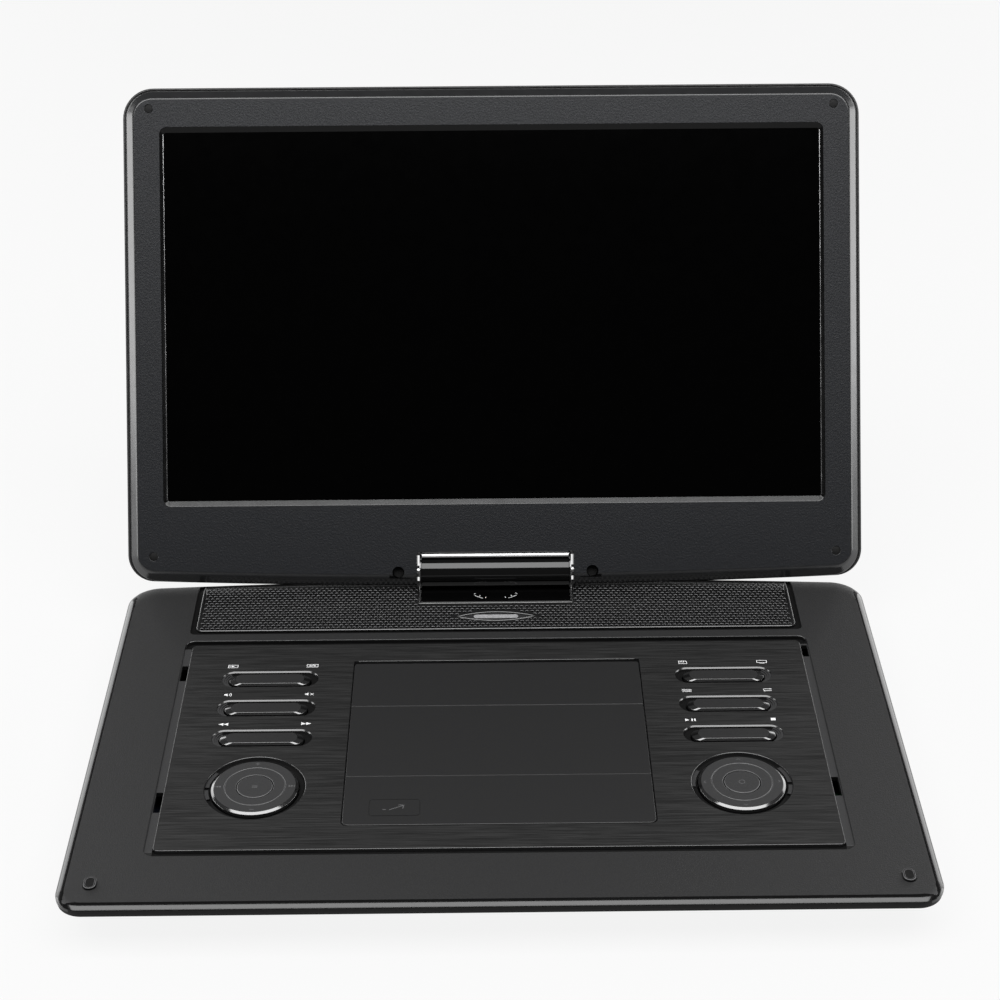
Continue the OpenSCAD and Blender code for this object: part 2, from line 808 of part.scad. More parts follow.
module pad_ring(side) {
    chamfer = 1;
    inner = pad_button_r + key_gap;
    color("#1c1c1d") on_deck() translate([side * key_x, pad_y, 0]) rotate_extrude($fn = 96) polygon([
        [inner, -6], [pad_flange_r, -6], [pad_flange_r, pad_flange_z], [pad_r, pad_flange_z],
        [pad_r, key_stand - chamfer], [pad_r - chamfer, key_stand],
        [pad_line_r + 0.3, key_stand], [pad_line_r, key_stand - 0.3], [pad_line_r - 0.3, key_stand],
        [inner + 0.2, key_stand], [inner, key_stand - 0.2]
    ]);
}

module pad_button(side) {
    color("#1c1c1d") on_deck() translate([side * key_x, pad_y, 0]) rotate_extrude($fn = 96) polygon([
        [0, -7.2], [5, -7.2], [5, -6], [pad_button_r, -6],
        [pad_button_r, key_stand - 0.3], [pad_button_r - 0.3, key_stand], [0, key_stand]
    ]);
}

// ---- hinge ----

module swivel_bracket() {
    color(steel) on_deck() difference() {
        span([-bracket_half_w, axis_back - 15.5, -6], [bracket_half_w, axis_back + 5.8, -4]);
        translate([0, axis_back, -8]) cylinder(r = post_r + running, h = 6);
    }
}

module swivel_post() {
    color(steel) on_deck() translate([0, axis_back, -10]) difference() {
        cylinder(r = post_r, h = 13.4);
        translate([0, 0, -1]) cylinder(r = 2.8, h = 16);
    }
}

module swivel_retainer() {
    color(steel) on_deck() translate([0, axis_back, -9.4]) difference() {
        cylinder(r = retainer_r, h = 3);
        translate([0, 0, -1]) cylinder(r = post_r, h = 6);
    }
}

module hinge_barrel() {
    color(gloss_black) on_deck() translate([0, axis_back, axis_rise]) difference() {
        rod_x(barrel_r, -barrel_l / 2, barrel_l / 2);
        span([-barrel_l, -20, -20], [barrel_l, 20, 0.8 - axis_rise]);
        translate([0, 0, -axis_rise]) cylinder(r = post_r, h = 3.4);
        translate([0, 0, -axis_rise]) cylinder(r = 2.8, h = axis_rise);
        rod_x(4.5, -12, 12);
        both_sides() rod_x(5, clip_x[0] - 1, barrel_l);
    }
}

module tilt_clips() {
    color("#8a8c8f") on_deck() translate([0, axis_back, axis_rise]) both_sides() difference() {
        rod_x(5, clip_x[0], clip_x[1]);
        rod_x(shaft_r + running, clip_x[0] - 1, clip_x[1] + 1);
    }
}

module tilt_shafts() {
    color(steel) on_lid() both_sides() rod_x(shaft_r, clip_x[0] + 0.2, bracket_x + bracket_w);
}

module hinge_brackets() {
    color(steel) on_lid() both_sides() difference() {
        union() {
            rod_x(bracket_r, bracket_x, bracket_x + bracket_w);
            span([bracket_x, 0, -bracket_r], [bracket_x + bracket_w, 8, -2.6]);
            span([bracket_x, 6, -bracket_r], [62, 27, -2.6]);
        }
        rod_x(shaft_r, bracket_x - 1, bracket_x + bracket_w + 1);
    }
}

// ---- screen ----

// Outline of the screen housing, set in at its sides and top, and at its bottom
module lid_outline(side, low) {
    hw = lid_w / 2 - side;
    y1 = lid_h - side;
    y0 = low - lid_low_corner;
    rt = lid_top_r - side;
    rb = lid_low_r - min(side, low);
    edge = hw - rb;
    sag = lid_low_middle - lid_low_corner;
    bow = [for (i = [1:bow_steps - 1]) let (x = edge * (2 * i / bow_steps - 1))
        [x, y0 - sag * (1 - pow(x / edge, 2))]];
    polygon(concat(
        bow,
        arc_points(edge, y0 + rb, rb, -90),
        arc_points(hw - rt, y1 - rt, rt, 0),
        arc_points(rt - hw, y1 - rt, rt, 90),
        arc_points(-edge, y0 + rb, rb, 180)
    ));
}

module lid_plate(z, side, low) {
    translate([0, 0, z]) linear_extrude(eps) lid_outline(side, low);
}

// How far the rounded bottom edge is set in at a height z on the housing's thickness
function low_inset(z) = lid_half_t * (1 - cos(asin(min(1, abs(z) / lid_half_t))));

module lid_cavity() {
    translate([0, (lid_h - lid_side_in + lid_cavity_low) / 2, lid_wall_back - lid_half_t])
        linear_extrude(lid_t - lid_wall_front - lid_wall_back)
            rounded_rect(lid_w - 2 * lid_side_in, lid_h - lid_side_in - lid_cavity_low, 10);
    both_sides() {
        span([bracket_x - 0.1, -3.4, lid_wall_back - lid_half_t], [100, lid_cavity_low + 12, 4.4]);
        span([bracket_x - 0.1, -knuckle_room, -knuckle_room],
             [bracket_x + bracket_w + 0.4, 6, knuckle_room]);
    }
}

module hinge_notch() {
    rod_x(notch_r, -notch_l / 2, notch_l / 2);
    span([-notch_l / 2, -20, -20], [notch_l / 2, 0, 20]);
    // open to the front, so the barrel's top stays in view
    span([-notch_l / 2, -1, 0], [notch_l / 2, notch_r - notch_step, 20]);
    rod_x(shaft_r + 0.2, -bracket_x - 0.1, bracket_x + 0.1);
}

module screen_bezel() {
    color("#343537") on_lid() difference() {
        union() {
            difference() {
                hull() {
                    lid_plate(lid_half_t - eps, 6.3, 6.3);
                    lid_plate(6.28, 5.5, low_inset(6.28));
                    lid_plate(4.81, 3.8, low_inset(4.81));
                    lid_plate(2.8, lid_lip, low_inset(2.8));
                    lid_plate(lid_split, lid_lip, low_inset(lid_split));
                }
                lid_cavity();
            }
            for (p = corner_screws) translate(p) translate([0, 0, lid_split])
                cylinder(r = 3.6, h = lcd_front_z - lid_split + 0.5);
        }
        hull() {
            translate([0, lcd_rise, lid_half_t]) linear_extrude(eps) rounded_rect(open_w, open_h, open_r);
            translate([0, lcd_rise, lcd_front_z - eps]) linear_extrude(eps)
                rounded_rect(lcd_w - 1, lcd_h - 0.4, 1);
        }
        hinge_notch();
        for (p = low_screws) translate(p) cylinder(r = 3, h = 20);
        for (p = corner_screws) translate(p) {
            translate([0, 0, -10]) cylinder(r = 1.2, h = 20);
            translate([0, 0, head_seat_z]) cylinder(r = corner_bore_r, h = 20);
        }
    }
}

module screen_back() {
    color(case_black) on_lid() difference() {
        union() {
            difference() {
                hull() {
                    lid_plate(lid_split - eps, 0, low_inset(lid_split));
                    lid_plate(-1.5, 0, low_inset(1.5));
                    lid_plate(-4.81, 2, low_inset(4.81));
                    lid_plate(-6.28, 4.6, low_inset(6.28));
                    lid_plate(-lid_half_t, 7, 6.2);
                }
                lid_cavity();
            }
            for (p = corner_screws) translate(p) translate([0, 0, -5.5])
                cylinder(r = 3.2, h = 5.5 + lid_split);
            for (p = low_screws) translate(p) translate([0, 0, -5.5])
                cylinder(r = 2.6, h = 5.5 + lid_split);
        }
        hinge_notch();
        for (p = concat(corner_screws, low_screws)) translate(p) translate([0, 0, -5])
            cylinder(r = 1.2, h = 20);
    }
}

module lcd_panel() {
    color("black") on_lid() translate([0, lcd_rise, lcd_front_z - lcd_glass_t])
        linear_extrude(lcd_glass_t) square([lcd_w + 8, lcd_h + 10], center = true);
}

module light_guide() {
    color("white") on_lid() translate([0, lcd_rise, 0.8])
        linear_extrude(2.6) square([lcd_w + 8, lcd_h + 10], center = true);
}

module lcd_pan() {
    color(steel) on_lid() translate([0, lcd_rise, 0]) difference() {
        translate([0, 0, 0.2]) linear_extrude(3.2) square([lcd_w + 10, lcd_h + 12], center = true);
        translate([0, 0, 0.8]) linear_extrude(3.2) square([lcd_w + 8, lcd_h + 10], center = true);
    }
}

module display_board() {
    color(board_green) on_lid() {
        span([-60, 45, -2.6], [60, 100, -1]);
        span([-20, 60, -4.2], [0, 80, -2.6]);
    }
}

// ---- fasteners ----

module base_screws() {
    color(steel) on_deck() for (p = screw_spots) translate(p) {
        translate([0, 0, floor_z + 0.2]) cylinder(r = 2.9, h = 1.8);
        translate([0, 0, floor_z + 0.3]) cylinder(r = 1.2, h = 19.5);
    }
}

module screen_screws() {
    color(steel) on_lid() {
        for (p = corner_screws) translate(p) {
            translate([0, 0, head_seat_z]) cylinder(r = 2.1, h = 1.1);
            translate([0, 0, -4.5]) cylinder(r = 1.2, h = 8);
        }
        for (p = low_screws) translate(p) {
            translate([0, 0, lid_split]) cylinder(r = 2.6, h = 1.8);
            translate([0, 0, -4.5]) cylinder(r = 1.2, h = 6);
        }
    }
}

module screw_plugs() {
    color(rubber_black) on_lid() for (p = corner_screws) translate(p)
        translate([0, 0, plug_seat_z]) cylinder(r = corner_bore_r, h = lid_half_t - plug_seat_z - 0.2);
}

bottom_case();
top_case();
control_panel();
speaker_grille();
grille_badge();
disc_well();
rubber_feet();
deck_bumpers();
main_pcb();
keypad_boards();
battery_pack();
speakers();
traverse_deck();
deck_dampers();
sled_rails();
spindle_motor();
sled_motor();
headphone_jack();
av_jack();
dc_jack();
usb_port();
card_slot();
hinge_plate();
swivel_bracket();
base_screws();
door_pins();
door_spring();
disc_door();
door_latch();
disc_hub();
pickup_sled();
pickup_lens();
lead_screw();
power_knob();
rocker_key(-1, 0);  // key_left_front
rocker_key(-1, 1);  // key_left_middle
rocker_key(-1, 2);  // key_left_rear
rocker_key(1, 0);  // key_right_front
rocker_key(1, 1);  // key_right_middle
rocker_key(1, 2);  // key_right_rear
pad_dome(-1);  // left_pad_dome
pad_ring(-1);  // left_pad_ring
pad_button(-1);  // left_pad_button
pad_dome(1);  // right_pad_dome
pad_ring(1);  // right_pad_ring
pad_button(1);  // right_pad_button
hinge_barrel();
swivel_post();
swivel_retainer();
tilt_clips();
screen_bezel();
screen_back();
lcd_panel();
light_guide();
lcd_pan();
display_board();
hinge_brackets();
tilt_shafts();
screen_screws();
screw_plugs();
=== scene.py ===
"""Looks of the portable DVD player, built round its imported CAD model.

Shapes are drawn in millimetres in one of two local frames and then moved into the row frame:
DECK has its origin in the middle of the deck's front edge, with Y to the back and Z up, and
LID has its origin in the middle of the tilt axis, with Y up the screen and Z towards the viewer.
"""

import json
import math

import bmesh
import bpy
from mathutils import Matrix, Vector
from mathutils.geometry import delaunay_2d_cdt


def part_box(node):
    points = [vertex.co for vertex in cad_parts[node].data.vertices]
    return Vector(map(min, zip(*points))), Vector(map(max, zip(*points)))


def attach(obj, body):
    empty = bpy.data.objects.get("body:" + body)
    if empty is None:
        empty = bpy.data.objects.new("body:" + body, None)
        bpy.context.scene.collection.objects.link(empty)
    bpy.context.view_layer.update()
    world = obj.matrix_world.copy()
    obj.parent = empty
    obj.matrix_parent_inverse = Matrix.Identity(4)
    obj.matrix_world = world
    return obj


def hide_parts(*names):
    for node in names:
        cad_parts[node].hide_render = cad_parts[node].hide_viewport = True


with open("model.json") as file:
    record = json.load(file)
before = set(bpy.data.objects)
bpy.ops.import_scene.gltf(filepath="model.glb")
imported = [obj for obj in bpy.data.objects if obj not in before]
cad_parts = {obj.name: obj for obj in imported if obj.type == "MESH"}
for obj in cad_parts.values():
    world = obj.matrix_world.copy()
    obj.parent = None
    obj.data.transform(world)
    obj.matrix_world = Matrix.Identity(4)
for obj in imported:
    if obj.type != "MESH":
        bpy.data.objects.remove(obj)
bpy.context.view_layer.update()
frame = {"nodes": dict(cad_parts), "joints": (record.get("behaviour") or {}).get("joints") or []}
SCENE = bpy.context.scene
MM = 0.001

# ---------------------------------------------------------------- frames and sizes


def joint(name):
    return next(j for j in frame["joints"] if j["name"] == name)


def node_points(node):
    return [v.co for v in frame["nodes"][node].data.vertices]


def screen_lean():
    """Angle of the screen behind the vertical, from the glass's largest face."""
    faces = [f for f in frame["nodes"]["lcd_panel"].data.polygons if f.normal.y < 0]
    return math.asin(max(faces, key=lambda f: f.area).normal.z)


def deck_frame():
    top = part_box("top_case")[1].z
    front = min(p.y for p in node_points("top_case") if p.z > top - 0.03 * MM)
    return Matrix.Translation((0, front, top)) @ Matrix.Scale(MM, 4)


def lid_frame():
    turn = Matrix.Rotation(math.pi / 2 - screen_lean(), 4, "X")
    return Matrix.Translation(Vector(joint("screen_tilt")["pos_m"])) @ turn @ Matrix.Scale(MM, 4)


DECK = deck_frame()
LID = lid_frame()


def local_box(node, space=DECK):
    """Lowest and highest corner of a CAD node in a local frame, in millimetres."""
    back = space.inverted()
    points = [back @ p for p in node_points(node)]
    low = Vector([min(p[i] for p in points) for i in range(3)])
    high = Vector([max(p[i] for p in points) for i in range(3)])
    return low, high


# Sizes below are in millimetres, and angles in degrees.

# the base
case_low, case_high = local_box("top_case")
BASE_HALF_W = case_high.x
RIM_RUN = -case_low.y
BASE_REAR = case_high.y
CASE_LOW_Z = local_box("bottom_case")[0].z
REAR_BOW = 6.5
FRONT_R = 12.5
REAR_R = 16.0
RIM_DROP = 2.9
RIM_SLOPE = 42
SEAM_Z = -3.2
REAR_ROLL = 14.0
THROUGH = -6.0  # a depth below the upper case's floor, for cutters

# the control panel, the disc door and the grille
panel_low, panel_high = local_box("control_panel")
door_low, door_high = local_box("disc_door")
PANEL_TOP = panel_high.z
RECESS_Z = panel_low.z
GROOVE = 3.7
GROOVE_CORNER_R = 4.7
DOOR_GAP = 0.4
DOOR_REAR_GAP = 1.1
grille_low, grille_high = local_box("speaker_grille")
GRILLE_GAP = 3.9
GRILLE_DEPTH = 1.5
GRILLE_REAR_INSET = 4.5

# the hinge
_, AXIS_Y, AXIS_Z = DECK.inverted() @ Vector(joint("screen_tilt")["pos_m"])
barrel_low, barrel_high = local_box("hinge_barrel")
BARREL_HALF_L = barrel_high.x
BARREL_R = (barrel_high.y - barrel_low.y) / 2

# the keys and pads
KEY_X = sum(p.x for p in local_box("key_right_front")) / 2
KEY_ROWS = ("front", "middle", "rear")
SIDES = (("left", -1), ("right", 1))
PAD_Y = sum(p.y for p in local_box("right_pad_ring")) / 2
PAD_R = 20.2
PAD_WELL_R = 23.2
PAD_BUTTON_R = 8.3
PAD_LINE_R = 14.0
KEY_L, KEY_W = 40.0, 9.0
KEY_WELL_L, KEY_WELL_W, KEY_WELL_SHIFT = 48.0, 13.7, 0.6
KEY_PIVOT_R, KEY_PIVOT_Z = 0.7, -4
STAND = local_box("left_pad_ring")[1].z  # height of the keys and pads over the deck

# the screen housing
lid_high = local_box("screen_back", LID)[1]
face_high = local_box("screen_bezel", LID)[1]
LID_HALF_W = lid_high.x
LID_TOP = lid_high.y
LID_FACE = face_high.z
LID_SPLIT = 1.2
LID_LOW_CORNER = 4.05
LID_LOW_MIDDLE = 7.5
LID_TOP_R = 16.0
LID_LOW_R = 14.0
glass_low, glass_high = local_box("lcd_panel", LID)
LCD_W, LCD_H = 344.2, 193.5
LCD_MID = (glass_low.y + glass_high.y) / 2
CORNER_SCREWS = [(x, y) for x in (-179.3, 179.3) for y in (243.7, 9.3)]
LOW_SCREWS = [(-51.0, -0.3), (51.0, -0.3)]

# ---------------------------------------------------------------- outlines


def arc_line(cx, cy, r, a0, a1, steps=16):
    """Points along an arc between two angles in degrees."""
    angles = [math.radians(a0 + (a1 - a0) * i / steps) for i in range(steps + 1)]
    return [(cx + r * math.cos(a), cy + r * math.sin(a)) for a in angles]


def corner(cx, cy, r, start, steps=8):
    """A quarter arc, counter-clockwise from an angle."""
    return arc_line(cx, cy, r, start, start + 90, steps)


def rect(x0, y0, x1, y1, r):
    """A rounded rectangle's outline as a function of how far it is grown."""
    def grown(g):
        k = max(r + g, 0.02)
        a, b, c, d = x0 - g + k, y0 - g + k, x1 + g - k, y1 + g - k
        return corner(c, b, k, -90) + corner(c, d, k, 0) + corner(a, d, k, 90) + corner(a, b, k, 180)
    return grown


def pill(cx, cy, length, width, upright=False):
    """A stadium's outline as a function of how far it is grown."""
    def grown(g):
        r, half = width / 2 + g, (length - width) / 2
        right = corner(half, 0, r, -90, 12)[:-1] + corner(half, 0, r, 0, 12)
        left = corner(-half, 0, r, 90, 12)[:-1] + corner(-half, 0, r, 180, 12)
        points = right + left
        if upright:
            points = [(-y, x) for x, y in points]
        return [(cx + x, cy + y) for x, y in points]
    return grown


def ring(cx, cy, r, steps=96):
    def grown(g):
        angles = [2 * math.pi * i / steps for i in range(steps)]
        return [(cx + (r + g) * math.cos(a), cy + (r + g) * math.sin(a)) for a in angles]
    return grown


def base_outline(side, front, rear):
    """The base seen from above, set in by a distance on each edge."""
    hw = BASE_HALF_W - side
    y0, y1 = front - RIM_RUN, BASE_REAR - rear
    rf = FRONT_R - min(side, front, FRONT_R - 2)
    rr = REAR_R - min(side, rear)
    edge = hw - rr
    y_corner = y1 - REAR_BOW * (edge / hw) ** 2
    bow = [(x, y1 - REAR_BOW * (x / hw) ** 2) for x in (edge * (1 - i / 16) for i in range(1, 32))]
    return (corner(hw - rf, y0 + rf, rf, -90, 24) + corner(edge, y_corner - rr, rr, 0, 16) + bow
            + corner(-edge, y_corner - rr, rr, 90, 16) + corner(rf - hw, y0 + rf, rf, 180, 24))


def lid_outline(side, low):
    """The screen housing seen from the front, set in at its sides and top, and at its bottom."""
    hw, y1, y0 = LID_HALF_W - side, LID_TOP - side, low - LID_LOW_CORNER
    rt, rb = LID_TOP_R - side, LID_LOW_R - min(side, low)
    edge = hw - rb
    sag = LID_LOW_MIDDLE - LID_LOW_CORNER
    bow = [(x, y0 - sag * (1 - (x / edge) ** 2)) for x in (edge * (i / 16 - 1) for i in range(1, 32))]
    return (bow + corner(edge, y0 + rb, rb, -90, 12) + corner(hw - rt, y1 - rt, rt, 0, 12)
            + corner(rt - hw, y1 - rt, rt, 90, 12) + corner(-edge, y0 + rb, rb, 180, 12))


# ---------------------------------------------------------------- solids

SAME_POINT = 1e-4


def outward(bm):
    bmesh.ops.recalc_face_normals(bm, faces=bm.faces)


def welded(bm):
    """Joins points that coincide and turns every face outwards."""
    bmesh.ops.remove_doubles(bm, verts=bm.verts, dist=SAME_POINT)
    outward(bm)
    return bm


def at(z, points):
    """Points of an outline, set at a height."""
    return [(x, y, z) for x, y in points]


def loft(rings):
    """A closed solid through rings of the same number of points."""
    bm = bmesh.new()
    rows = [[bm.verts.new(p) for p in ring_] for ring_ in rings]
    count = len(rows[0])
    for a, b in zip(rows, rows[1:]):
        for i in range(count):
            j = (i + 1) % count
            bm.faces.new((a[i], a[j], b[j], b[i]))
    bm.faces.new(rows[0][::-1])
    bm.faces.new(rows[-1])
    return welded(bm)


def swept(outline, x0, x1):
    """A solid swept along X from an outline of Y and Z."""
    return loft([[(x, y, z) for y, z in outline] for x in (x0, x1)])


def stack(outline, levels):
    """A solid of an outline's copies, each grown by a distance and set at a height."""
    return loft([at(z, outline(g)) for g, z in levels])


def pill_loft(x, y, levels):
    """A solid of stadiums, each with a length, a width and a height."""
    return loft([at(z, pill(x, y, length, width)(0)) for length, width, z in levels])


def round_over(z, c, steps=4):
    """Levels that round a top edge over with radius c."""
    angles = [math.pi / 2 * i / steps for i in range(steps + 1)]
    return [(-c * (1 - math.cos(a)), z - c + c * math.sin(a)) for a in angles]


def plate(outline, z0, z1, c):
    """A plate whose top and bottom edges are rounded."""
    low = [(g, z0 + z1 - z) for g, z in reversed(round_over(z1, min(c, 0.3)))]
    return stack(outline, low + round_over(z1, c))


def well(outline, z0, z1, c):
    """A cutter that leaves a rounded edge of radius c where it meets the surface at z1."""
    flare = [(c * (1 - math.cos(a)), z1 - c + c * math.sin(a)) for a in (0, 0.4, 0.8, 1.2, 1.45)]
    return stack(outline, [(0, z0)] + flare + [(flare[-1][0], z1 + 2)])


def revolve(profile, steps=96, centre=(0, 0)):
    """A solid turned about a vertical axis from a closed profile of radius and height."""
    bm = bmesh.new()
    rows = []
    for i in range(steps):
        a = 2 * math.pi * i / steps
        rows.append([bm.verts.new((centre[0] + r * math.cos(a), centre[1] + r * math.sin(a), z))
                     for r, z in profile])
    count = len(profile)
    for i in range(steps):
        a, b = rows[i], rows[(i + 1) % steps]
        for k in range(count):
            m = (k + 1) % count
            if profile[k][0] > 1e-6 or profile[m][0] > 1e-6:
                bm.faces.new((a[k], b[k], b[m], a[m]))
    return welded(bm)


def block(low, high, c=0.2):
    """A box from its corners, with bevelled edges."""
    bm = bmesh.new()
    bmesh.ops.create_cube(bm, size=1)
    size = Vector(high) - Vector(low)
    middle = (Vector(high) + Vector(low)) / 2
    for v in bm.verts:
        v.co = Vector([v.co[i] * size[i] for i in range(3)]) + middle
    if c:
        bmesh.ops.bevel(bm, geom=bm.edges, offset=c, segments=2, affect="EDGES", profile=0.5)
    return bm


def rod_x(r, x0, x1, y, z, c=0.15, steps=48):
    """A rod along X with rounded ends."""
    bm = revolve([(0, x0), (r - c, x0), (r, x0 + c), (r, x1 - c), (r - c, x1), (0, x1)], steps)
    for v in bm.verts:
        v.co = Vector((v.co.z, y + v.co.x, z + v.co.y))
    outward(bm)
    return bm


def merged(parts):
    bm = bmesh.new()
    for part in parts:
        mesh = bpy.data.meshes.new("part")
        part.to_mesh(mesh)
        part.free()
        bm.from_mesh(mesh)
        bpy.data.meshes.remove(mesh)
    return bm


def scratch_object(bm):
    mesh = bpy.data.meshes.new("scratch")
    bm.to_mesh(mesh)
    bm.free()
    obj = bpy.data.objects.new("scratch", mesh)
    SCENE.collection.objects.link(obj)
    return obj


def boolean(bm, tools, how="DIFFERENCE"):
    """Cuts tools that don't touch one another from a solid, or joins them to it."""
    body, tool = scratch_object(bm), scratch_object(merged(tools))
    cut = body.modifiers.new("cut", "BOOLEAN")
    cut.operation, cut.object, cut.solver = how, tool, "EXACT"
    result = bmesh.new()
    result.from_object(body, bpy.context.evaluated_depsgraph_get())
    for obj in (body, tool):
        mesh = obj.data
        bpy.data.objects.remove(obj)
        bpy.data.meshes.remove(mesh)
    bmesh.ops.remove_doubles(result, verts=result.verts, dist=SAME_POINT)
    return result


# ---------------------------------------------------------------- materials


class Nodes:
    """A short way to build a material's node tree."""

    def __init__(self, name):
        self.material = bpy.data.materials.new(name)
        self.material.use_nodes = True
        self.tree = self.material.node_tree
        self.shader = self.tree.nodes["Principled BSDF"]
        self.place = self.add("ShaderNodeTexCoord").outputs["Object"]

    def add(self, kind, **values):
        node = self.tree.nodes.new(kind)
        for key, value in values.items():
            setattr(node, key, value)
        return node

    def link(self, a, b):
        self.tree.links.new(a, b)

    def scaled(self, scale):
        node = self.add("ShaderNodeMapping")
        node.inputs["Scale"].default_value = scale
        self.link(self.place, node.inputs["Vector"])
        return node.outputs["Vector"]

    def noise(self, scale, detail=3, roughness=0.5):
        """Noise whose grain is 1/scale metres, along each axis."""
        scale = scale if isinstance(scale, tuple) else (scale,) * 3
        node = self.add("ShaderNodeTexNoise")
        node.inputs["Scale"].default_value = 1
        node.inputs["Detail"].default_value = detail
        node.inputs["Roughness"].default_value = roughness
        self.link(self.scaled(scale), node.inputs["Vector"])
        return node.outputs["Fac"]

    def between(self, value, low, high, start=0.3, end=0.7):
        """A value from start to end, mapped to low to high."""
        node = self.add("ShaderNodeMapRange")
        for key, number in (("From Min", start), ("From Max", end), ("To Min", low), ("To Max", high)):
            node.inputs[key].default_value = number
        self.link(value, node.inputs["Value"])
        return node.outputs["Result"]

    def mix(self, value, a, b):
        node = self.add("ShaderNodeMix", data_type="RGBA")
        node.inputs["A"].default_value = (*a, 1)
        node.inputs["B"].default_value = (*b, 1)
        self.link(value, node.inputs["Factor"])
        return node.outputs["Result"]

    def set(self, **values):
        for key, value in values.items():
            socket = self.shader.inputs[key.replace("_", " ")]
            if hasattr(value, "links"):
                self.link(value, socket)
            else:
                socket.default_value = value

    def bump(self, height, depth):
        """Bump of a real depth in metres."""
        node = self.add("ShaderNodeBump")
        node.inputs["Strength"].default_value = 1
        node.inputs["Distance"].default_value = depth
        self.link(height, node.inputs["Height"])
        self.link(node.outputs["Normal"], self.shader.inputs["Normal"])


def shade(grey, tint=(1, 1, 1)):
    return tuple(grey * t for t in tint)


def moulded(name, grey, rough, grain=2200, depth=0.00002, tint=(1, 1, 1.02), specular=0.5):
    """Moulded plastic with a fine sparked grain that also varies its colour and gloss."""
    m = Nodes(name)
    fine = m.noise(grain, 3, 0.6)
    dark, light = shade(grey * 0.7, tint), shade(grey * 1.3, tint)
    m.set(Base_Color=m.mix(m.between(fine, 0, 1), dark, light),
          Roughness=m.between(fine, rough + 0.06, rough - 0.06), Specular_IOR_Level=specular)
    m.bump(fine, depth)
    return m.material


def polished(name, grey, rough, tint=(1, 1, 1.03), specular=0.5, ior=1.5):
    """Polished plastic with faint handling haze and orange peel."""
    m = Nodes(name)
    haze, peel = m.noise(140, 5), m.noise(420, 2)
    m.set(Base_Color=m.mix(m.between(haze, 0, 1), shade(grey * 0.9, tint), shade(grey * 1.12, tint)),
          Roughness=m.between(haze, rough, rough * 1.25), Specular_IOR_Level=specular, IOR=ior)
    m.bump(peel, 0.0000006)
    return m.material


def brushed(name, grey, rough, streaks, depth, metallic=0.0, spread=0.35):
    """A surface brushed across the player: long fine streaks in colour, gloss and height."""
    m = Nodes(name)
    along, across = streaks
    fine = m.noise((along, across, across), 3, 0.6)
    coarse = m.noise((along / 2, across / 2, across / 2), 3, 0.7)
    dark, light = shade(grey * (1 - spread)), shade(grey * (1 + spread))
    m.set(Base_Color=m.mix(m.between(fine, 0, 1, 0.35, 0.65), dark, light),
          Roughness=m.between(coarse, rough - 0.08, rough + 0.1), Metallic=metallic)
    m.bump(fine, depth)
    return m.material


def metal(name, grey, rough):
    """Plated or turned metal with fine scratches."""
    m = Nodes(name)
    wear, fine = m.noise(160, 5, 0.6), m.noise((300, 5200, 5200), 2)
    tint = (1, 1, 1.01)
    m.set(Base_Color=m.mix(m.between(wear, 0, 1), shade(grey * 0.8, tint), shade(grey * 1.1, tint)),
          Roughness=m.between(wear, rough * 0.8, rough * 1.4), Metallic=1.0)
    m.bump(fine, 0.000003)
    return m.material


def board_material():
    """Solder-masked circuit board with lighter tracks and tinned pads."""
    m = Nodes("circuit_board")
    tracks = m.add("ShaderNodeTexBrick")
    sizes = {"Scale": 1, "Mortar Size": 0.0006, "Brick Width": 0.011, "Row Height": 0.0023}
    for key, number in sizes.items():
        tracks.inputs[key].default_value = number
    m.link(m.scaled((1, 1, 1)), tracks.inputs["Vector"])
    m.set(Base_Color=m.mix(tracks.outputs["Fac"], (0.012, 0.085, 0.035), (0.03, 0.17, 0.07)),
          Roughness=m.between(m.noise(900), 0.28, 0.42), Specular_IOR_Level=0.6)
    m.bump(tracks.outputs["Fac"], 0.00003)
    return m.material


def lens_material():
    m = Nodes("coated_lens")
    m.set(Base_Color=m.mix(m.between(m.noise(700), 0, 1), (0.25, 0.38, 0.75), (0.5, 0.45, 0.85)),
          Roughness=0.05, Transmission_Weight=0.6, IOR=1.5)
    return m.material


def print_material():
    """White pad-printed ink with slightly uneven cover."""
    m = Nodes("white_print")
    ink = m.noise(3000, 2)
    m.set(Base_Color=m.mix(m.between(ink, 0, 1), (0.62, 0.62, 0.63), (0.86, 0.86, 0.86)),
          Roughness=m.between(ink, 0.5, 0.65))
    m.bump(ink, 0.000004)
    return m.material


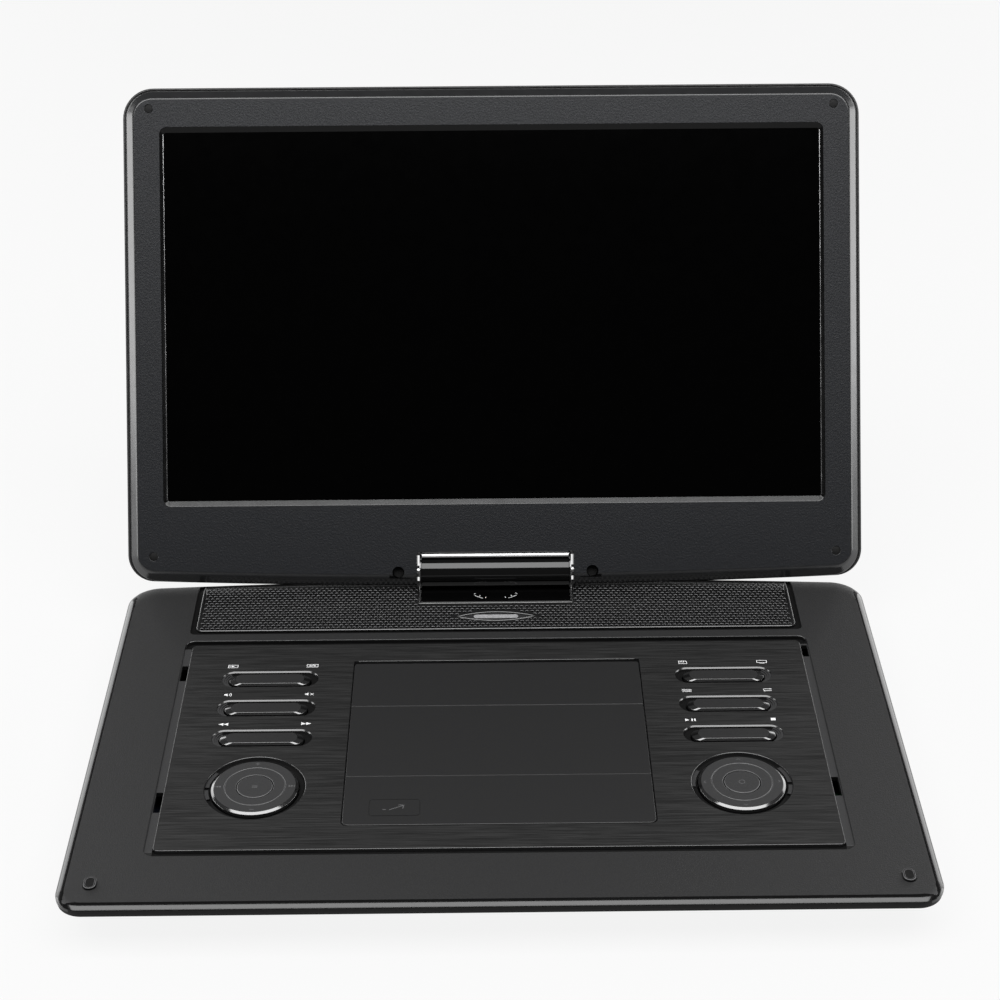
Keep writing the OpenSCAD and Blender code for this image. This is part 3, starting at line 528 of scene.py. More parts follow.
MAT = {
    "case": moulded("case_plastic", 0.0165, 0.46, 1500, 0.00012),
    "rim": polished("case_rim", 0.002, 0.13),
    # painted shade: a darker, duller black than the case, put in recesses and hollows where shade falls
    "recess": moulded("recess_painted_shade", 0.002, 0.6, 1500, 0.00002, specular=0.2),
    "groove": moulded("groove_floor", 0.036, 0.34, 1800, 0.00001),
    "lower": moulded("lower_case", 0.004, 0.5, 2200, 0.00004, specular=0.2),
    "panel": brushed("brushed_panel", 0.014, 0.40, (45, 2600), 0.00005, 0.0, 0.55),
    "panel_edge": polished("panel_edge", 0.012, 0.16, specular=0.9),
    "door": moulded("door_satin", 0.0155, 0.38, 3600, 0.000006),
    "grille": moulded("grille_paint", 0.0045, 0.34, 1800, 0.000006, specular=0.6),
    # painted glint: light grey on the hole walls stands in for light caught on the punched edges
    "painted_edge_glint": moulded("punched_edge_painted_glint", 0.32, 0.4, 1800, 0.000006),
    "trim": polished("dark_trim", 0.02, 0.18, specular=0.9),
    # painted highlight: bright silver put where the barrel's lip and rims and the display's sides catch the
    # light
    "painted_highlight": metal("silver_painted_highlight", 0.42, 0.22),
    "badge": brushed("satin_badge", 0.55, 0.25, (60, 2600), 0.000004, 1.0, 0.12),
    "badge_bar": moulded("badge_bar", 0.28, 0.4, 1500, 0.00001),
    "gloss": polished("piano_black", 0.0012, 0.04),
    "key": polished("key_gloss", 0.006, 0.12, specular=0.8, ior=1.8),
    "key_top": moulded("key_grain", 0.018, 0.42, 1500, 0.00003),
    "pad_top": moulded("pad_satin", 0.030, 0.40, 2600, 0.00001),
    "well": moulded("well_plastic", 0.008, 0.42, 2000, 0.00001),
    "rubber": moulded("black_rubber", 0.003, 0.62, 1300, 0.00003, specular=0.2),
    "silicone": moulded("grey_silicone", 0.22, 0.55, 900, 0.00002, specular=0.4),
    "steel": metal("plated_steel", 0.55, 0.26),
    "board": board_material(),
    "cell_wrap": polished("shrink_wrap", 0.012, 0.3, (0.8, 1, 1.7)),
    "cone": moulded("paper_cone", 0.03, 0.8, 700, 0.0001, (1, 0.97, 0.92), 0.2),
    "jack_yellow": polished("yellow_jack", 0.5, 0.25, (1.15, 0.8, 0.08)),
    "nylon": moulded("natural_nylon", 0.62, 0.42, 700, 0.00002, (1, 0.99, 0.93)),
    "lens": lens_material(),
    "lcd": polished("display_glass", 0.0004, 0.10, specular=0.04),
    "light_guide": polished("light_guide_acrylic", 0.8, 0.1, (1, 1, 1)),
    "bezel": moulded("bezel_grain", 0.0055, 0.46, 1100, 0.00018, (0.86, 0.98, 1.28), 0.27),
    # the lighter bevel finish also goes on the opening's up-facing side as painted light
    "bevel": polished("bezel_bevel_and_painted_light", 0.012, 0.2, (0.97, 0.99, 1.05), 0.7),
    # painted shade: a darker, duller black on the opening's other sides and in the low screw holes
    "opening": polished("opening_painted_shade", 0.002, 0.14, specular=0.15),
    # pale grey: real print on the icons, and painted highlight on the pads' engraved line and rounded edges
    # and on the bumpers' top edges
    "line": moulded("pale_print_and_painted_highlight", 0.09, 0.5, 2600, 0.00001),
    "print": print_material(),
}

# ---------------------------------------------------------------- pieces


def keep_flat(obj):
    """Weighted normals, so that flat faces stay flat beside rounded edges."""
    weigh = obj.modifiers.new("flat faces stay flat", "WEIGHTED_NORMAL")
    weigh.keep_sharp = True


def finished(name, bm, space, body, materials, replaces=(), pick=None, sharp=32):
    """Puts a shape in the row frame as a piece. pick(centre, normal) chooses each face's material."""
    mesh = bpy.data.meshes.new(name)
    if pick:
        for f in bm.faces:
            f.material_index = pick(f.calc_center_median(), f.normal)
    bm.to_mesh(mesh)
    bm.free()
    mesh.transform(space)
    for key in materials:
        mesh.materials.append(MAT[key])
    mesh.shade_smooth()
    mesh.set_sharp_from_angle(angle=math.radians(sharp))
    obj = bpy.data.objects.new(name, mesh)
    SCENE.collection.objects.link(obj)
    keep_flat(obj)
    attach(obj, body)
    if replaces:
        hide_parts(*replaces)


def rim_levels():
    """Heights and insets of the rim: it leaves the deck flat, steepens evenly and ends in a low wall."""
    reach = RIM_RUN - 0.15
    bend = reach / math.radians(RIM_SLOPE)
    levels = []
    for slope in (0, 3, 6, 9, 13, 17, 21, 25, 29, 33, 37, RIM_SLOPE):
        levels.append((bend * math.log(math.cos(math.radians(slope))), RIM_RUN - reach * slope / RIM_SLOPE))
    last = levels[-1][0]
    return levels + [(last - 0.14, 0.04), (last - 0.3, 0), (-2.3, 0), (-RIM_DROP, 0)]


def deck_solid(drop=0.0, bottom=SEAM_Z):
    """The upper case's outer form, from its flat top to the seam."""
    rings = [at(bottom, base_outline(0, 0, 0))]
    for z, inset in reversed(rim_levels()):
        roll = REAR_ROLL * (1 - (-z / RIM_DROP) ** (1 / 2.4))
        rings.append(at(z - drop, base_outline(inset, inset, roll)))
    return loft(rings)


def deck_height(x, y):
    """Height of the deck's rolled-off rear at a point."""
    inward = BASE_REAR - REAR_BOW * (x / BASE_HALF_W) ** 2 - y
    if inward >= REAR_ROLL:
        return 0.0
    return -RIM_DROP * (1 - max(0.0, inward) / REAR_ROLL) ** 2.4


def grille_outline(inset, steps=48):
    """The grille's outline: a rounded rectangle whose rear follows the base's rear edge."""
    x1, y0, r = grille_high.x - inset, grille_low.y + inset, 3.0
    rear = [(x, BASE_REAR - GRILLE_REAR_INSET - inset - REAR_BOW * (x / BASE_HALF_W) ** 2)
            for x in (x1 * (1 - 2 * i / steps) for i in range(steps + 1))]
    return corner(x1 - r, y0 + r, r, -90) + rear + corner(r - x1, y0 + r, r, 180)


def key_centre(side, row):
    low, high = local_box(f"key_{side}_{row}")
    return (low.x + high.x) / 2, (low.y + high.y) / 2


BUMPER_X, BUMPER_Y = 178.0, 12.0
# for the left side (-1) and the right side (1): a slot's front and rear, a ledge's two angles and height
GROOVE_SLOTS = {-1: [(62.3, 77.1), (166.8, 179.9)], 1: [(70, 84), (183.5, 193.5)]}
PAD_LEDGES = {-1: [(146, 176, -1.3), (182, 200, -1.0)], 1: [(4, 34, -1.3), (-20, -2, -1.0), (150, 182, -1.5)]}
KEY_STEPS = [(5.3, -1.6), (6.2, -1.15), (7.1, -0.7)]  # inner radius and height


def deck_pick(c, n):
    """Grain on top, gloss on the rim and satin in the grooves beside the panel; a darker, duller black as
    painted shade in the recesses, under the grille and on the rim's front wall.
    """
    under_grille = c.y > grille_low.y - GRILLE_GAP + 0.8 and abs(c.x) < grille_high.x + 3 and n.z > 0.3
    # painted shade: the floor under the grille gets the darker black
    if under_grille and c.z < deck_height(c.x, c.y) - 1:
        return 2
    reach = GROOVE + 0.1
    over_panel = abs(c.x) < panel_high.x + reach and panel_low.y - reach < c.y < panel_high.y + reach
    if over_panel and c.z < -0.02:
        # painted shade on the panel recess's floor
        if c.z <= RECESS_Z + 0.05:
            return 2
        if n.z > 0.9:
            return 3
        # painted shade on the deep walls that face front or back
        return 2 if abs(n.y) > 0.3 and c.z < -0.45 else 4
    on_rim = c.z < -0.004 and (abs(c.x) > BASE_HALF_W - RIM_RUN or c.y < 0)
    if on_rim:
        # painted shade: the rim's front wall gets the darker black
        return 2 if n.y < -0.9 else 1
    return 0


def top_case():
    """The upper case, with the panel's recess, the grille's recess and the holes under the keys."""
    bm = deck_solid()
    recess = rect(panel_low.x - GROOVE, panel_low.y - GROOVE, panel_high.x + GROOVE, panel_high.y + GROOVE,
                  GROOVE_CORNER_R)
    under_grille = loft([at(z, grille_outline(0.5 - GRILLE_GAP)) for z in (THROUGH, 3)])
    grille_cut = boolean(under_grille, [deck_solid(GRILLE_DEPTH, SEAM_Z - 4)])
    bumpers = [well(pill(sx * BUMPER_X, BUMPER_Y, 8.5, 6, True), -0.5, 0, 0.25) for _, sx in SIDES]
    bm = boolean(bm, [well(recess, RECESS_Z, 0, 0.4), grille_cut] + bumpers)
    bm = boolean(bm, [groove_floor(sx) for _, sx in SIDES], "UNION")
    bay = rect(door_low.x + 2, door_low.y + 2, door_high.x - 2, door_high.y + DOOR_REAR_GAP, 2)
    holes = [stack(shape, [(0, THROUGH), (0, 1)]) for shape in (bay, ring(0, AXIS_Y, 6))]
    ledges = [[], [], []]
    for side, sx in SIDES:
        holes.append(well(ring(sx * KEY_X, PAD_Y, PAD_R + 0.4), THROUGH, RECESS_Z, 0.25))
        for row in KEY_ROWS:
            x, y = key_centre(side, row)
            holes.append(well(pill(x, y, KEY_L + 0.8, KEY_W + 0.8), THROUGH, RECESS_Z, 0.2))
            for level, step in zip(ledges, key_steps(x, y + KEY_WELL_SHIFT, sx)):
                level.append(step)
        ledges[0] += pad_ledges(sx * KEY_X, PAD_Y, sx)
    for sx, slots in GROOVE_SLOTS.items():
        x0, x1 = sorted((sx * (panel_high.x + 0.2), sx * (panel_high.x + GROOVE - 0.3)))
        holes += [stack(rect(x0, y0, x1, y1, 0.4), [(0, THROUGH), (0, -0.5)]) for y0, y1 in slots]
    bm = boolean(boolean(bm, holes), [swing_room()])
    for level in ledges:
        bm = boolean(bm, level, "UNION")
    materials = ["case", "rim", "recess", "groove", "trim"]
    finished("case_top", bm, DECK, "base", materials, ["top_case"], deck_pick)


def groove_floor(sx):
    """The raised floor of the groove beside the panel, with sloping ends."""
    x0, x1 = sorted((sx * (panel_high.x + 0.1), sx * (panel_high.x + GROOVE + 0.3)))
    rings = []
    for reach, z in ((2.6, RECESS_Z - 0.4), (2.4, RECESS_Z + 0.02), (0.2, -1.05), (0, -1.0)):
        y0, y1 = panel_low.y - reach, panel_high.y + reach - 2.4
        rings.append([(x0, y0, z), (x1, y0, z), (x1, y1, z), (x0, y1, z)])
    return loft(rings)


def arc_block(x, y, r0, r1, a0, a1, top):
    """A block between two arcs, with its inner top edge bevelled."""
    outer = arc_line(x, y, r1, a0, a1, 14)
    levels = [(r0, RECESS_Z - 0.4), (r0, top - 0.2), (r0 + 0.08, top - 0.06), (r0 + 0.22, top)]
    return loft([at(z, outer + arc_line(x, y, r, a0, a1, 14)[::-1]) for r, z in levels])


def key_steps(x, y, sx):
    """Three low steps at the outer end of a key's well."""
    middle = 0 if sx > 0 else 180
    end = x + sx * (KEY_L - KEY_W) / 2
    for k, (r0, top) in enumerate(KEY_STEPS):
        half = 52 + k
        yield arc_block(end, y, r0, 8.2 + 0.05 * k, middle - half, middle + half, top)


def pad_ledges(x, y, sx):
    """Raised arcs in the floor of a pad's well, each between two angles and up to a height."""
    return [arc_block(x, y, 21.3, PAD_WELL_R + 0.4, a0, a1, top) for a0, a1, top in PAD_LEDGES[sx]]


def swing_room():
    """Square-cornered room for the door's rear edge to turn down into."""
    shape = rect(door_low.x - DOOR_GAP, door_high.y - 6.5, door_high.x + DOOR_GAP,
                 door_high.y + DOOR_REAR_GAP, 0.5)
    return stack(shape, [(0, THROUGH - 1), (0, 3)])


def control_panel():
    """The brushed panel, open for the door, the pads and the keys."""
    bm = plate(rect(panel_low.x, panel_low.y, panel_high.x, panel_high.y, 2.5), RECESS_Z, PANEL_TOP, 0.4)
    opening = rect(door_low.x - DOOR_GAP, door_low.y - DOOR_GAP, door_high.x + DOOR_GAP,
                   door_high.y + DOOR_REAR_GAP, 3.0)
    cuts = [well(opening, THROUGH, PANEL_TOP, 0.3)]
    levels = [(47.4, 12.2, THROUGH), (47.4, 12.2, PANEL_TOP - 0.55), (47.9, 13.5, PANEL_TOP - 0.06),
              (KEY_WELL_L, KEY_WELL_W, PANEL_TOP), (KEY_WELL_L, KEY_WELL_W, 3)]
    for side, sx in SIDES:
        cuts.append(well(ring(sx * KEY_X, PAD_Y, PAD_WELL_R), THROUGH, PANEL_TOP, 0.45))
        for row in KEY_ROWS:
            x, y = key_centre(side, row)
            cuts.append(pill_loft(x, y + KEY_WELL_SHIFT, levels))
    bm = boolean(boolean(bm, cuts), [swing_room()])
    finished("panel_plate", bm, DECK, "base", ["panel", "panel_edge"], ["control_panel"],
             lambda c, n: 0 if n.z > 0.98 else 1)


# ---- door ----

CREASES = (86.8, 142.7)
PRESS_ZONE = (-59, 57.5, -36, 69.2)  # left, front, right, rear
DOOR_AXIS = Vector(DECK.inverted() @ Vector(joint("door_open")["pos_m"]))
KNUCKLES = ((50, 60), (-60, -50))
CATCH_X = (-51.5, -43.5)
DOOR_T = 1.5
DOOR_ROLL_R = 2.0


def disc_door():
    """The door: its rear edge rolled over, with two creases, a press zone, hinge arms and a catch."""
    y0, y1, top = door_low.y, door_high.y, door_high.z
    under = top - DOOR_T
    ends = (door_low.x - 1, door_high.x + 1)
    bm = plate(rect(door_low.x, y0, door_high.x, y1, 3.0), under, top, 0.4)
    r = DOOR_ROLL_R
    turns = [math.pi / 16 * i for i in range(9)]
    roll = [(y1 - r + r * math.sin(a), top - r + r * math.cos(a)) for a in turns]
    past_roll = [(y1 - r, top + 2)] + roll + [(y1 + 2, roll[-1][1]), (y1 + 2, top + 2)]
    cuts = [swept(past_roll, *ends)]
    side = [(-0.45, 0.5), (-0.45, 0.02), (-0.28, -0.06), (-0.12, -0.3)]
    groove = side + [(-y, z) for y, z in reversed(side)]
    cuts += [swept([(crease + y, top + z) for y, z in groove], *ends) for crease in CREASES]
    zone = rect(*PRESS_ZONE, 1.6)
    inside_zone = stack(zone, [(-0.25, top - 2), (-0.25, top + 2)])
    cuts.append(boolean(stack(zone, [(0.25, top - 0.22), (0.45, top + 1)]), [inside_zone]))
    bm = boolean(bm, cuts)
    y, z = DOOR_AXIS.y, DOOR_AXIS.z
    parts = []
    for x0, x1 in KNUCKLES:
        arm = block((x0, y - 1.4, z), (x1, y + 1.4, under + 0.4), 0.1)
        arm = boolean(arm, [rod_x(1.4, x0, x1, y, z, 0.1)], "UNION")
        parts.append(boolean(arm, [rod_x(0.85, x0 - 1, x1 + 1, y, z)]))
    x0, x1 = CATCH_X
    parts.append(block((x0, y0 + 3.6, -6.5), (x1, y0 + 5, under + 0.4), 0.15))
    parts += [block((x, y0 + 8, under - 1), (x + 1, y1 - 8, under + 0.4), 0.1) for x in (-66, 65)]
    bm = boolean(bm, parts, "UNION")
    bm = boolean(bm, [block((x0, y0 + 2.6, -6.5), (x1, y0 + 3.9, -5.7), 0.1)], "UNION")
    finished("door_plate", bm, DECK, "door", ["door"], ["disc_door"])


# ---- keys and pads ----


def rocker_key(side, row):
    """A long key with bevelled edges, a flange under the panel and a pivot across it."""
    x, y = key_centre(side, row)
    levels = [(KEY_L, KEY_W, -4.8), (KEY_L, KEY_W, STAND - 1.1), (39.95, 8.97, STAND - 1.0),
              (39.7, 8.86, STAND - 0.9), (34.5, 7.85, STAND - 0.1), (33.9, 7.55, STAND - 0.03),
              (33.2, 7.25, STAND)]
    bm = pill_loft(x, y, levels)
    low = local_box(f"key_{side}_{row}")[0].z
    bm = boolean(bm, [plate(pill(x, y, KEY_L + 3, KEY_W + 2), low, -4.7, 0.3)], "UNION")
    stub = rod_x(KEY_PIVOT_R, -7.2, 7.2, 0, 0, 0.15, 24)
    for v in stub.verts:
        v.co = Vector((x + v.co.y, y + v.co.x, KEY_PIVOT_Z + v.co.z))
    outward(stub)
    bm = boolean(bm, [stub], "UNION")
    finished(f"rocker_{side}_{row}", bm, DECK, f"key_{side}_{row}", ["key", "key_top"],
             [f"key_{side}_{row}"], lambda c, n: 1 if n.z > 0.9 and c.z > STAND - 0.03 else 0)


def pad_pick(c, n, centre):
    """Satin on top, pale grey as painted highlight on the engraved line and rounded edges inside the rim, and
    gloss at the rim.
    """
    if n.z > 0.98:
        return 1
    return 2 if c.z > STAND - 0.3 and math.hypot(c.x - centre[0], c.y - centre[1]) < PAD_R - 3 else 0


def pad_ring(side, sx):
    """The tilting ring of a pad, with an engraved line round it."""
    centre = (sx * KEY_X, PAD_Y)
    inner = PAD_BUTTON_R + 0.4
    outer_edge = [(PAD_R, STAND - 0.95), (PAD_R - 0.05, STAND - 0.84), (PAD_R - 0.15, STAND - 0.76),
                  (PAD_R - 1.15, STAND - 0.1), (PAD_R - 1.35, STAND - 0.02), (PAD_R - 1.6, STAND)]
    line = [(PAD_LINE_R + 0.35, STAND), (PAD_LINE_R + 0.12, STAND - 0.22), (PAD_LINE_R - 0.12, STAND - 0.22),
            (PAD_LINE_R - 0.35, STAND)]
    inner_edge = [(inner - g, z) for g, z in reversed(round_over(STAND, 0.35, 4))]
    profile = [(inner, -6), (21.8, -6), (21.8, -4.9), (PAD_R, -4.9)] + outer_edge + line + inner_edge
    bm = revolve(profile, 144, centre)
    finished(f"{side}_pad_cap", bm, DECK, f"{side}_pad_ring", ["key", "pad_top", "line"],
             [f"{side}_pad_ring"], lambda c, n: pad_pick(c, n, centre))


def pad_button(side, sx):
    edge = [(PAD_BUTTON_R + g, z) for g, z in round_over(STAND, 0.5, 5)]
    stem = [(0, -7.2), (5, -7.2), (5, -6), (PAD_BUTTON_R, -6)]
    profile = stem + edge + [(6, STAND - 0.03), (0, STAND - 0.12)]
    bm = revolve(profile, 96, (sx * KEY_X, PAD_Y))
    finished(f"{side}_pad_centre", bm, DECK, f"{side}_pad_button", ["key", "pad_top", "line"],
             [f"{side}_pad_button"], lambda c, n: pad_pick(c, n, (sx * KEY_X, PAD_Y)))


def pad_dome(side, sx):
    profile = [(9.0, -7.8), (11.0, -7.8), (11.0, -7.2), (10.6, -6.9), (10.3, -6.55), (10.0, -6.4),
               (9.2, -6.4), (9.0, -6.6)]
    finished(f"{side}_dome_ring", revolve(profile, 96, (sx * KEY_X, PAD_Y)), DECK, f"{side}_pad_dome",
             ["silicone"], [f"{side}_pad_dome"])


# ---- grille and badge ----

PITCH = 2.7
ROW_STEP = PITCH * math.sqrt(3) / 2
HOLE_R = 0.92
BADGE_L, BADGE_W = 39.6, 8.0
BADGE_Y = 221.9
HINGE_CUT = (BARREL_HALF_L, AXIS_Y - 18.8)


def lens(shrink, steps=40):
    """A pointed oval made of two arcs."""
    r = ((BADGE_L / 2) ** 2 + (BADGE_W / 2) ** 2) / BADGE_W
    half, rr = BADGE_L / 2 - shrink * 2.4, r - shrink
    rise = math.sqrt(rr * rr - half * half)
    across = [half * (2 * i / steps - 1) for i in range(steps + 1)]
    low = [(x, BADGE_Y + rise - math.sqrt(rr * rr - x * x)) for x in across]
    return low + [(x, 2 * BADGE_Y - y) for x, y in reversed(low[1:-1])]


def inside(point, outline):
    x, y = point
    odd = False
    for (x0, y0), (x1, y1) in zip(outline, outline[1:] + outline[:1]):
        if (y0 > y) != (y1 > y) and x < (x1 - x0) * (y - y0) / (y1 - y0) + x0:
            odd = not odd
    return odd


def clear(point, loops, room):
    """Whether a point is further than room from every edge of the loops."""
    for loop in loops:
        for (x0, y0), (x1, y1) in zip(loop, loop[1:] + loop[:1]):
            dx, dy = x1 - x0, y1 - y0
            t = max(0.0, min(1.0, ((point[0] - x0) * dx + (point[1] - y0) * dy) / (dx * dx + dy * dy)))
            if math.hypot(point[0] - x0 - t * dx, point[1] - y0 - t * dy) < room:
                return False
    return True


def hole_row(j):
    """Where a row of holes lies along Y, and how far it is shifted along X."""
    return grille_low.y + 1.9 + j * ROW_STEP, PITCH / 2 if j % 2 else 0


def sheet_outline():
    """The grille's edge, with a notch in its rear for the hinge."""
    half, front = HINGE_CUT
    notch = [(half, front), (half, BASE_REAR + 5), (-half, BASE_REAR + 5), (-half, front)]
    edge = [p for p in grille_outline(0) if not inside(p, notch)]
    rear_y = BASE_REAR - GRILLE_REAR_INSET - REAR_BOW * (half / BASE_HALF_W) ** 2
    cut = next(i for i, p in enumerate(edge) if p[1] > front and p[0] < half and i > 9)
    return edge[:cut] + [(half, rear_y), (half, front), (-half, front), (-half, rear_y)] + edge[cut:]


def speaker_grille():
    """A perforated sheet with staggered holes, rolled off with the deck, and its beaded edges."""
    sheet, oval = sheet_outline(), lens(-0.2)
    loops = [sheet, oval]
    centres = []
    rows = int((grille_high.y - grille_low.y) / ROW_STEP) + 2
    for j in range(rows):
        y, shift = hole_row(j)
        for i in range(-60, 61):
            p = (i * PITCH + shift, y)
            if inside(p, sheet) and not inside(p, oval) and clear(p, loops, HOLE_R + 0.45):
                centres.append(p)
    points, edges = [], []

    def add_loop(loop):
        start = len(points)
        points.extend(Vector(p) for p in loop)
        edges.extend((start + k, start + (k + 1) % len(loop)) for k in range(len(loop)))

    for loop in loops:
        add_loop(loop)
    for cx, cy in centres:
        angles = [math.pi / 6 * k for k in range(12)]
        add_loop([(cx + HOLE_R * math.cos(a), cy + HOLE_R * math.sin(a)) for a in angles])
    flat, _, faces, *_ = delaunay_2d_cdt(points, edges, [], 1, 1e-5)
    first_row = hole_row(0)[0]
    taken = {(round(cx / PITCH * 2), round((cy - first_row) / ROW_STEP)) for cx, cy in centres}

    def is_hole(x, y):
        j = round((y - first_row) / ROW_STEP)
        for row in (j - 1, j, j + 1):
            cy, shift = hole_row(row)
            cx = round((x - shift) / PITCH) * PITCH + shift
            if (round(cx / PITCH * 2), row) in taken and math.hypot(x - cx, y - cy) < HOLE_R * 0.97:
                return True
        return False

    bm = bmesh.new()
    verts = [bm.verts.new((p.x, p.y, deck_height(p.x, p.y) - 0.02)) for p in flat]
    for tri in faces:
        x = sum(flat[k].x for k in tri) / 3
        y = sum(flat[k].y for k in tri) / 3
        if not is_hole(x, y) and inside((x, y), sheet) and not inside((x, y), oval):
            bm.faces.new([verts[k] for k in tri])
    bmesh.ops.delete(bm, geom=[v for v in bm.verts if not v.link_faces], context="VERTS")
    outward(bm)
    if sum(f.normal.z for f in bm.faces) < 0:
        bmesh.ops.reverse_faces(bm, faces=bm.faces)
    bmesh.ops.solidify(bm, geom=bm.faces, thickness=0.4)
    outward(bm)
    # the hole walls and the sheet's edge get the light grey painted glint
    finished("grille_sheet", bm, DECK, "base", ["grille", "painted_edge_glint"], ["speaker_grille"],
             lambda c, n: 1 if abs(n.z) < 0.5 else 0)
    rim = [(x, y, deck_height(x, y) - 0.25) for x, y in dense(sheet, 4)]
    finished("grille_bead", bead(rim, 0.5), DECK, "base", ["trim"])
    finished("badge_bead", bead(at(-0.2, lens(-0.1)), 0.38), DECK, "base", ["trim"])


def dense(loop, step):
    """A closed loop with points no further apart than a step."""
    points = []
    for (x0, y0), (x1, y1) in zip(loop, loop[1:] + loop[:1]):
        count = max(1, int(math.hypot(x1 - x0, y1 - y0) / step))
        points += [(x0 + (x1 - x0) * i / count, y0 + (y1 - y0) * i / count) for i in range(count)]
    return points


def circle_about(p, along, guide, r, steps):
    """Points of a circle round a direction."""
    side = along.cross(guide).normalized()
    up = side.cross(along)
    turns = [2 * math.pi * k / steps for k in range(steps)]
    return [p + r * (math.cos(t) * side + math.sin(t) * up) for t in turns]


def bead(path, r, steps=10):
    """A closed round bead that follows a loop of points."""
    bm = bmesh.new()
    rows = []
    count = len(path)
    for i in range(count):
        a, p, b = (Vector(path[k % count]) for k in (i - 1, i, i + 1))
        along = ((b - p).normalized() + (p - a).normalized()).normalized()
        rows.append([bm.verts.new(q) for q in circle_about(p, along, Vector((0, 0, 1)), r, steps)])
    for a, b in zip(rows, rows[1:] + rows[:1]):
        for k in range(steps):
            m = (k + 1) % steps
            bm.faces.new((a[k], a[m], b[m], b[k]))
    outward(bm)
    return bm


def grille_badge():
    """A blank satin name plate: a dark oval with a raised plain bar."""
    low, high = local_box("grille_badge")
    levels = [(0.15, low.z), (0.15, high.z - 0.4), (0.85, high.z - 0.03), (1.0, high.z)]
    bm = loft([at(z, lens(s)) for s, z in levels])
    bar_levels = [(0, high.z - 0.2), (0, high.z + 0.18), (-0.25, high.z + 0.26)]
    bm = boolean(bm, [stack(pill(0, BADGE_Y, 23, 3.2), bar_levels)], "UNION")
    finished("badge_plate", bm, DECK, "base", ["trim", "badge", "badge_bar"], ["grille_badge"],
             lambda c, n: 2 if c.z > high.z + 0.05 else 1 if 0.1 < n.z < 0.98 else 0)


# ---- hinge ----


def hinge_plate():
    low, high = local_box("hinge_plate")
    bm = plate(rect(low.x, low.y, high.x, high.y, 1.6), low.z, high.z, 0.45)
    bm = boolean(bm, [stack(ring(0, AXIS_Y, 5.0, 48), [(0, THROUGH), (0, 6)])])
    finished("swivel_plate", bm, DECK, "base", ["gloss"], ["hinge_plate"])


BARREL_RIM = 1.3
BARREL_EDGE = 0.35
BARREL_LIP = [(-0.58, 9.03), (-0.16, 9.5), (0.5, 10.22), (0.62, 10.32), (0.8, 10.34), (1.0, 10.28)]


def barrel_section(x, r, lip=False):
    """The barrel's outline at a point along it, with or without the lip on its top."""
    low = math.degrees(math.asin((barrel_low.z - AXIS_Z) / r))
    front = arc_line(0, 0, r, low, 86 if lip else 90, 36)
    rear = arc_line(0, 0, r, 105 if lip else 92, 180 - low, 29)
    outline = [(-y, z) for y, z in front] + BARREL_LIP * lip + [(-y, z) for y, z in rear]
    return [(x, AXIS_Y + y, AXIS_Z + z) for y, z in outline]


def barrel_pick(c, n):
    """Bright silver as painted highlight on the lip's front and on the rounded outer edges of the end rims.
    """
    on_lip = c.z > AXIS_Z + 9.5 and n.y < -0.2
    on_rim = 0.25 < n.x * math.copysign(1, c.x) < 0.97 and c.z > 1.2
    return 1 if on_lip or on_rim else 0


def hinge_barrel():
    """The barrel: a smooth drum between end rims, with a raised lip along its top."""
    bm = loft([barrel_section(sx * (BARREL_HALF_L - 0.6), BARREL_R - 1.2, True) for _, sx in SIDES])
    edge = [(0, BARREL_EDGE), (BARREL_EDGE * 0.3, BARREL_EDGE * 0.3), (BARREL_EDGE, 0)]
    caps = []
    for _, sx in SIDES:
        outer, inner = sx * BARREL_HALF_L, sx * (BARREL_HALF_L - BARREL_RIM)
        rings = [(inner + sx * along, drop) for along, drop in edge]
        rings += [(outer - sx * along, drop) for along, drop in reversed(edge)]
        caps.append(loft([barrel_section(x, BARREL_R - drop) for x, drop in rings]))
    bm = boolean(bm, caps, "UNION")
    end = BARREL_HALF_L + 2
    bores = [rod_x(5, 14, end, AXIS_Y, AXIS_Z), rod_x(5, -end, -14, AXIS_Y, AXIS_Z),
             rod_x(4.5, -12, 12, AXIS_Y, AXIS_Z)]
    bm = boolean(bm, bores)
    bm = boolean(bm, [stack(ring(0, AXIS_Y, 4.85, 64), [(0, -2), (0, 3.4)])])
    bm = boolean(bm, [stack(ring(0, AXIS_Y, 2.8, 48), [(0, -2), (0, AXIS_Z)])])
    finished("barrel_cover", bm, DECK, "swivel", ["gloss", "painted_highlight"], ["hinge_barrel"],
             barrel_pick, 24)


# ---- bottom case ----

PORT_Z = -13.6
SCREW_SPOTS = [(-176, 40), (176, 40), (-176, 215), (176, 215), (-60, 202), (60, 202)]
ROUND_PORTS = (62, 78, 196)  # places along the right side
FLAT_PORTS = [(92.7, 107.3, 3.1), (118.4, 145.6, 2.1), (163.5, 172.5, 1.6)]  # front, rear, half height
VENTS = 8
VENT_PITCH = 5.2
TUB_ROUND = 2.2
TUB_WALL = 2.2
UNDERCUT_Z = -5.2
UNDERCUT_SLOPE = 35


def tub_levels(inset, bottom, top):
    """Rings of the lower case: its front is undercut and its bottom edge rounded."""
    rings = []
    slope = 1 / math.tan(math.radians(UNDERCUT_SLOPE))
    wall = bottom + TUB_ROUND
    zs = [bottom + TUB_ROUND * (1 - math.cos(math.pi / 2 * i / 5)) for i in range(6)]
    zs += [wall + (UNDERCUT_Z - wall) * i / 6 for i in range(1, 7)] + [top]
    for z in zs:
        t = max(0.0, 1 - (z - bottom) / TUB_ROUND)
        tuck = TUB_ROUND * (1 - math.sqrt(max(0.0, 1 - t * t)))
        front = inset + max(0.0, UNDERCUT_Z - z) * slope
        rings.append(at(z, base_outline(inset + tuck, front + tuck, inset + tuck)))
    return rings


